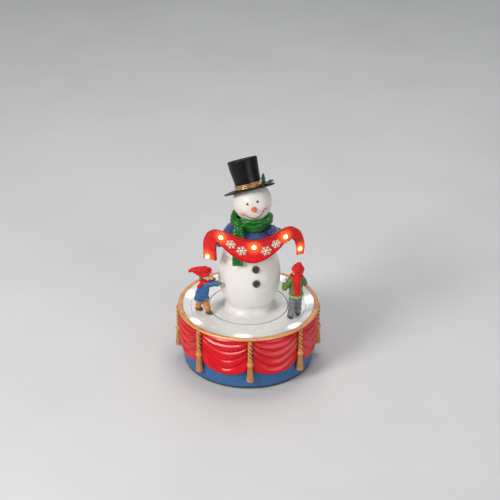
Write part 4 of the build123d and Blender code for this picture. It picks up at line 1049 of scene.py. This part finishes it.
# (x, height) of the upper and the lower edge, from one end of the ribbon to the other
BANNER_PAIRS = (
    ((-46.6, 65.6), (-33.0, 67.4)), ((-46.5, 74.8), (-33.3, 74.3)), ((-46.2, 85.3), (-33.4, 80.8)),
    ((-42.8, 95.8), (-33.0, 86.8)), ((-36.0, 102.0), (-31.6, 90.4)), ((-28.5, 102.9), (-28.8, 88.0)),
    ((-20.5, 101.8), (-24.6, 83.6)), ((-14.0, 100.0), (-17.5, 77.9)), ((-5.0, 97.6), (-6.0, 72.4)),
    ((5.8, 96.0), (5.9, 70.6)), ((15.0, 97.2), (14.5, 72.9)), ((24.0, 100.3), (22.0, 76.8)),
    ((32.0, 104.4), (28.5, 81.8)), ((38.0, 107.1), (33.5, 86.1)), ((44.0, 107.0), (38.5, 91.0)),
    ((49.3, 103.6), (42.6, 93.3)), ((53.4, 98.6), (46.6, 90.8)), ((56.6, 89.8), (49.3, 84.4)),
    ((58.0, 79.8), (50.1, 77.8)), ((56.9, 71.0), (50.3, 71.9)),
)


def on_banner(x, rise, proud=0.0):
    """Point on the banner's bent front face, at a height above the platform, standing proud of it."""
    side = (x - BANNER_AXIS.x) / BANNER_BEND
    normal = Vector((side, -sqrt(1 - side * side), 0))
    return Vector((BANNER_AXIS.x, BANNER_AXIS.y, PLATFORM + rise)) + normal * (BANNER_BEND + proud)


def build_banner():
    """Red ribbon with rolled edges and soft waves."""
    line = smooth_path([(*upper, *lower) for upper, lower in BANNER_PAIRS], 9)
    across = 30
    front, back = [], []
    for i, (ux, uz, lx, lz) in enumerate(line):
        share = i / (len(line) - 1)
        for j in range(across + 1):
            v = j / across
            x, z = lx + (ux - lx) * v, lz + (uz - lz) * v
            edge = exp(-((min(v, 1 - v) - 0.05) / 0.05) ** 2)
            wave = 0.55 * sin(15 * share + 2.4 * v) + 0.25 * sin(31 * share - 3 * v)
            fold = sum(exp(-((share - spot + 0.05 * (v - 0.5)) / 0.016) ** 2) for spot in CREASE_PLACES)
            proud = -0.45 + 0.95 * edge + wave * 0.45 * (1 - 0.5 * edge) - 0.75 * fold
            front.append(on_banner(x, z, min(proud, 0.75)))
            back.append(on_banner(x, z, -2.35 + 0.3 * wave + 0.35 * edge))
    faces = sheet_faces(len(line), across + 1, turned_over=True)
    ribbon = link("ribbon_banner", (front + back, faces), "banner_red")
    bevel = ribbon.modifiers.new("soft_edge", "BEVEL")
    bevel.width = 0.45 * MM
    bevel.segments = 3
    bevel.limit_method = "ANGLE"
    bevel.angle_limit = radians(50)
    settle(ribbon, "banner_red")
    finish_piece(ribbon, "banner_red", "banner")


def build_ornaments():
    """Raised snowflakes between the banner's lamps and a collar round each lamp."""
    flakes = []
    for x, rise, size in ((-17.6, 90.6, 5.0), (-6.6, 84.6, 5.4), (18.2, 84.8, 5.4), (28.2, 91.4, 4.8)):
        for arm in range(6):
            turn = radians(60 * arm + 12)
            way = Vector((cos(turn), sin(turn)))

            def spot(out, side=0.0):
                place = Vector((x, rise)) + way * size * out + Vector((-way.y, way.x)) * size * side
                return on_banner(place.x, place.y, 0.35)

            flakes.append(tube([spot(0), spot(0.5), spot(1)], [0.62, 0.55, 0.42], 10))
            for side in (-1, 1):
                flakes.append(tube([spot(0.52), spot(0.68, side * 0.17), spot(0.80, side * 0.30)],
                                   [0.5, 0.42, 0.34], 8))
        flakes.append(ball(on_banner(x, rise, 0.3), 0.95, 10))
    add_piece("snowflake_ornaments", joined(flakes), "ornament_cream", "cuff_cream")
    reach, steps = 2.25, 28
    collars = []
    for centre in BANNER_LAMPS:
        rise = centre.z - PLATFORM
        ring = [on_banner(centre.x + reach * cos(t), rise + reach * sin(t), 0.25)
                for t in (FULL_TURN * i / steps for i in range(steps + 1))]
        collars.append(tube(ring, [0.42] * len(ring), 8, round_ends=False))
    add_piece("lamp_collars", joined(collars), "band_gold", "band_gold")


# ---------------------------------------------------------------- children: points by their height above the platform


def limb(start, end, start_radius, end_radius):
    """Tapered limb."""
    a, b = above(start), above(end)
    steps = 6
    points = [a.lerp(b, i / steps) for i in range(steps + 1)]
    return tube(points, [start_radius + (end_radius - start_radius) * i / steps for i in range(steps + 1)])


def lump(centre, size, segments=16):
    """Ellipsoid."""
    return ball(above(centre), size, segments)


def creased(scale, depth, bands, seed):
    """Cloth relief of slanting creases and lumps."""

    def height(point):
        wave = sin(bands * point.z + 0.35 * point.x + 2.5 * noise.noise(point / 4 + Vector((seed, 0, 0))))
        return wave * depth * 0.5 + noise.noise(point / scale + Vector((0, seed, 0))) * depth

    return height


def child_piece(name, parts, material, slot, *nodes, voxel=0.26, smoothing=3, surface=None):
    """Moulded piece of a child, riding on the turntable."""
    finish_piece(moulded(name, parts, material, "carousel", voxel, smoothing, surface), slot, *nodes)


def build_face(name, centre, radius, facing):
    """Generic doll's face: two eyes and a mouth on a small head."""
    centre = above(centre)
    side = facing.cross(UP).normalized()
    up = side.cross(facing)

    def spot(across, rise, out=1.0):
        return centre + (facing * 1.0 + side * across + up * rise).normalized() * radius * out

    eyes = joined([ball(spot(s * 0.36, 0.10, 0.985), 0.5, 10) for s in (-1, 1)])
    add_piece(name + "_eyes", eyes, "eye_black", "eye_black", body="carousel")
    mouth = tube([spot(-0.2, -0.42), spot(0.0, -0.48), spot(0.2, -0.42)], [0.18, 0.24, 0.18], 8)
    add_piece(name + "_mouth", mouth, "smile_red", "nose_orange", body="carousel")


def build_blue_child():
    """Child in a blue coat and a long red hat, reaching towards the snowman."""
    child_piece("blue_child_boots", [
        limb((-53.5, -12.5, 2.4), (-50.2, -13.5, 2.2), 2.5, 2.35),
        limb((-42.5, -20.5, 2.4), (-39.7, -21.4, 2.2), 2.5, 2.35),
        limb((-53.2, -12.6, 2.4), (-52.7, -12.8, 5.0), 2.5, 2.3),
        limb((-42.4, -20.4, 2.4), (-42.3, -20.1, 5.0), 2.5, 2.3),
    ], "shoe_brown", "shoe_brown", "blue_child_shoes", surface=lumps(2.0, 0.12, 2))
    child_piece("blue_child_breeches", [
        limb((-48.5, -14.5, 18.8), (-52.3, -12.9, 6.6), 4.4, 3.1),
        limb((-47.0, -17.5, 18.8), (-42.3, -20.0, 6.6), 4.4, 3.1),
        limb((-52.4, -12.8, 6.4), (-52.5, -12.8, 5.2), 3.3, 2.9),
        limb((-42.3, -20.0, 6.4), (-42.2, -20.0, 5.2), 3.3, 2.9),
    ], "trousers_orange", "trousers_orange", "blue_child_trousers", surface=creased(2.6, 0.3, 1.3, 1))
    hem = hoop(Matrix.Translation(above((-48.7, -16.0, 16.6))), 6.9, 6.6, 0.95, 40, wave=0.5, waves=5)
    child_piece("blue_child_jacket", [
        limb((-48.5, -16.0, 21.3), (-45.5, -16.3, 33.8), 7.2, 5.6), hem,
        limb((-44.5, -20.0, 35.3), (-33.2, -23.3, 38.4), 3.2, 2.8),
        limb((-44.5, -12.5, 35.3), (-37.6, -12.9, 37.2), 3.2, 2.8),
        limb((-33.6, -23.2, 38.3), (-32.4, -23.6, 38.6), 3.1, 3.1),
        lump((-44.9, -16.4, 38.4), (5.0, 5.0, 1.9)),
    ], "coat_blue", "coat_blue", "blue_child_coat", surface=creased(3.0, 0.34, 0.75, 5))
    child_piece("blue_child_mittens", [
        lump((-30.4, -24.0, 39.0), (3.4, 2.4, 2.4)), lump((-31.8, -23.4, 41.0), (1.1, 1.2, 1.5)),
        lump((-36.4, -13.1, 37.6), (2.6, 2.4, 2.4)), lump((-37.2, -11.6, 38.6), (1.1, 1.1, 1.2)),
    ], "mitten_olive", "mitten_brown", surface=lumps(1.5, 0.12, 3))
    centre, radius = Vector((-43.0, -16.5, 45.1)), 6.2
    facing = Vector((1.0, -0.38, -0.12)).normalized()
    nose = facing * radius
    child_piece("blue_child_face", [
        lump(centre, radius, 28), lump(centre + nose, 1.0, 12),
        lump(centre + nose * 0.8 + Vector((0.6, -2.2, -1.6)), 1.5, 12),
        lump(centre + nose * 0.8 + Vector((-0.9, 2.2, -1.6)), 1.5, 12),
        lump(centre + Vector((-2.2, -5.5, -0.4)), (1.3, 0.9, 1.6), 12),
    ], "skin_peach", "skin_peach", "blue_child_head", voxel=0.22)
    build_face("blue_child", centre, radius, facing)
    child_piece("blue_child_hair", [
        lump((-45.2, -19.6, 43.2), (3.4, 3.0, 3.3)), lump((-47.6, -16.5, 43.0), (3.4, 4.6, 3.6)),
        lump((-45.2, -13.2, 43.4), (3.4, 2.6, 3.2)), lump((-42.0, -21.2, 46.8), (2.2, 1.6, 2.0)),
    ], "hair_brown", "shoe_brown", surface=lambda p: 0.3 * sin(3.4 * p.x + 2.2 * p.y + 1.5 * p.z))
    brim = Matrix.Translation(above((-44.6, -16.4, 48.0))) @ Matrix.Rotation(radians(-24), 4, "Y")
    child_piece("blue_child_long_hat", [
        limb((-46.0, -16.3, 48.0), (-52.5, -16.0, 49.8), 6.9, 4.5),
        limb((-52.5, -16.0, 49.8), (-57.6, -15.8, 50.6), 4.5, 2.5),
        limb((-57.6, -15.8, 50.6), (-60.4, -15.6, 49.6), 2.5, 1.6), lump((-60.6, -15.6, 49.2), 1.8, 14),
        hoop(brim, 6.5, 6.5, 1.35, 44),
    ], "knit_red", "knit_red", "blue_child_hat",
        surface=lambda p: 0.25 * sin(2.4 * p.x + 0.9 * p.z) + noise.noise(p / 1.5) * 0.3)
    collar = hoop(Matrix.Translation(above((-44.6, -16.5, 38.6))), 4.9, 4.9, 1.5, 36)
    child_piece("blue_child_neckerchief", [
        collar, limb((-48.0, -19.6, 38.2), (-51.6, -21.4, 33.6), 1.7, 1.9),
    ], "knit_red", "knit_red", surface=creased(1.4, 0.25, 2.2, 3))


def build_green_child():
    """Child in a green coat, a knobbly red hat and a long red scarf down the back."""
    child_piece("green_child_boots", [
        limb((44.2, -30.0, 2.4), (42.7, -27.6, 2.2), 2.5, 2.35),
        limb((52.4, -22.2, 2.4), (50.7, -20.0, 2.2), 2.5, 2.35),
        limb((44.2, -29.8, 2.4), (44.4, -29.2, 5.2), 2.5, 2.5),
        limb((52.3, -22.2, 2.4), (52.0, -22.0, 5.2), 2.5, 2.5),
    ], "shoe_black", "shoe_black", "green_child_shoes", surface=lumps(2.0, 0.12, 6))
    child_piece("green_child_jeans", [
        limb((46.9, -27.6, 25.8), (44.5, -29.1, 7.6), 4.6, 3.3),
        limb((51.6, -24.4, 25.8), (52.0, -22.1, 7.6), 4.6, 3.3),
        limb((44.5, -29.1, 7.4), (44.4, -29.2, 5.8), 3.7, 3.5),
        limb((52.0, -22.1, 7.4), (52.0, -22.0, 5.8), 3.7, 3.5),
        lump((49.4, -27.6, 24.0), (4.6, 4.2, 3.6)),
    ], "trousers_grey", "trousers_grey", "green_child_trousers", surface=creased(2.4, 0.42, 1.1, 7))
    child_piece("green_child_jacket", [
        limb((49.4, -26.0, 31.8), (49.2, -26.0, 44.8), 7.3, 6.1),
        limb((43.6, -29.2, 45.8), (37.6, -30.0, 36.8), 3.4, 2.9),
        limb((54.6, -22.6, 45.8), (58.6, -19.9, 37.9), 3.4, 2.9),
        limb((37.6, -30.0, 36.8), (37.8, -26.6, 38.8), 2.9, 2.8),
    ], "coat_green", "coat_green", "green_child_coat", surface=creased(2.6, 0.42, 0.9, 9))
    hem = hoop(Matrix.Translation(above((49.4, -26.0, 27.4))), 7.0, 7.0, 1.15, 44, wave=0.3, waves=6)
    child_piece("green_child_hem", [hem], "hem_green", "coat_green",
                surface=lambda p: abs(noise.noise(p / 0.9)) * 0.5)
    child_piece("green_child_mittens", [
        lump((37.8, -25.2, 39.7), (2.6, 2.6, 2.5)), lump((59.0, -19.6, 36.4), (2.5, 2.4, 2.6)),
        lump((57.6, -20.8, 37.6), (1.1, 1.1, 1.4)),
    ], "shoe_black", "shoe_black", surface=lumps(1.5, 0.12, 3))
    child_piece("held_snowball", [lump((37.4, -23.6, 42.6), 3.1, 20)], "snowball", "snow_white", smoothing=2,
                surface=lumps(1.4, 0.5, 8))
    centre, radius = Vector((50.6, -25.7, 55.1)), 6.0
    facing = Vector((-0.62, 0.78, 0.05)).normalized()
    nose = facing * radius
    child_piece("green_child_face", [lump(centre, radius, 28), lump(centre + nose, 1.0, 12)],
                "skin_peach", "skin_peach", "green_child_head", voxel=0.22)
    build_face("green_child", centre, radius, facing)
    child_piece("green_child_knit_hat", [
        lump((51.1, -26.2, 57.0), (6.5, 6.5, 5.4), 24), lump((51.9, -26.6, 62.2), (3.4, 3.4, 2.6), 16),
        lump((52.6, -26.9, 64.2), (1.9, 1.9, 1.5), 14),
        limb((51.2, -28.4, 54.4), (50.8, -30.8, 50.2), 4.4, 3.6),
    ], "knit_red", "knit_red", "green_child_hat",
        surface=lambda p: 0.62 * (sin(2.3 * p.x + 0.5) * sin(2.3 * p.y) + sin(1.9 * p.z)) * 0.5)
    collar = hoop(Matrix.Translation(above((49.7, -26.0, 49.0))), 5.3, 5.3, 1.9, 36, 12)
    child_piece("green_child_long_scarf", [
        collar, limb((50.6, -30.6, 49.2), (50.6, -33.2, 44.0), 3.6, 3.2),
        limb((50.6, -33.2, 44.0), (50.4, -34.0, 33.4), 3.2, 3.5),
        limb((48.4, -32.2, 46.0), (48.2, -33.4, 38.6), 2.4, 2.2),
    ], "knit_red", "knit_red",
        surface=lambda p: (0.2 * sin(1.7 * p.z + 0.8 * sin(p.x)) * sin(2.1 * p.x)
                           + noise.noise(p / 1.4) * 0.55))
    child_piece("green_child_shoulder_pad", [limb((46.0, -29.6, 48.4), (44.8, -30.4, 45.6), 2.0, 2.2)],
                "coat_green", "coat_green", surface=lumps(1.8, 0.25, 2))


for build in (build_body, build_head, build_nose, build_hat, build_holly, build_jacket, build_buttons,
              build_scarf_rolls, build_scarf_tail, build_banner, build_ornaments, build_blue_child,
              build_green_child):
    build()

# ---------------------------------------------------------------- studio and camera

FLOOR_REACH = 8.0
CAMERA_PLACE = Vector((1.8, -1318.226, 843.238)) * MM
CAMERA_TARGET = Vector((1.8, 0.0, 127.5)) * MM
LIGHTS_TARGET = Vector((0, 0, 0.1))
# Name, place, size, watts, tint
LIGHTS = (
    ("key_light", (-0.95, -0.85, 0.95), 0.55, 16.5, (1.0, 0.985, 0.96)),
    ("fill_light", (1.0, -1.15, 0.6), 0.8, 6.5, (0.95, 0.98, 1.0)),
    ("top_light", (0.1, 0.5, 1.4), 0.8, 9.0, (1.0, 1.0, 1.0)),
)


def build_studio():
    """Plain pale floor, soft lights and the camera at the same angle and framing as the photograph."""
    scene = bpy.context.scene
    reach = FLOOR_REACH
    floor_mesh = bpy.data.meshes.new("floor")
    floor_mesh.from_pydata([(-reach, -reach, 0), (reach, -reach, 0), (reach, reach, 0), (-reach, reach, 0)], [],
                           [(0, 1, 2, 3)])
    floor = bpy.data.objects.new("floor", floor_mesh)
    scene.collection.objects.link(floor)
    n = Nodes("floor_pale")
    n.wire(n.ramp(n.noise(160.0), [(0.3, (0.60, 0.60, 0.60)), (0.7, (0.64, 0.64, 0.64))]), "Base Color")
    n.fill(n.shader, Roughness=0.8)
    floor_mesh.materials.append(n.material)

    def stand(name, data, place, target):
        thing = bpy.data.objects.new(name, data)
        thing.location = place
        thing.rotation_euler = (target - Vector(place)).to_track_quat("-Z", "Y").to_euler()
        scene.collection.objects.link(thing)
        return thing

    camera = bpy.data.cameras.new("camera")
    camera.lens = 103.68
    camera.sensor_width = 36.0
    camera.clip_end = 50.0
    scene.camera = stand("camera", camera, CAMERA_PLACE, CAMERA_TARGET)
    for name, place, size, watts, tint in LIGHTS:
        light = bpy.data.lights.new(name, "AREA")
        light.size = size
        light.energy = watts
        light.color = tint
        stand(name, light, place, LIGHTS_TARGET)
    world = bpy.data.worlds.new("studio")
    world.use_nodes = True
    background = world.node_tree.nodes["Background"]
    background.inputs["Color"].default_value = (0.80, 0.82, 0.85, 1)
    background.inputs["Strength"].default_value = 0.32
    scene.world = world
    scene.view_settings.view_transform = "Standard"


build_studio()
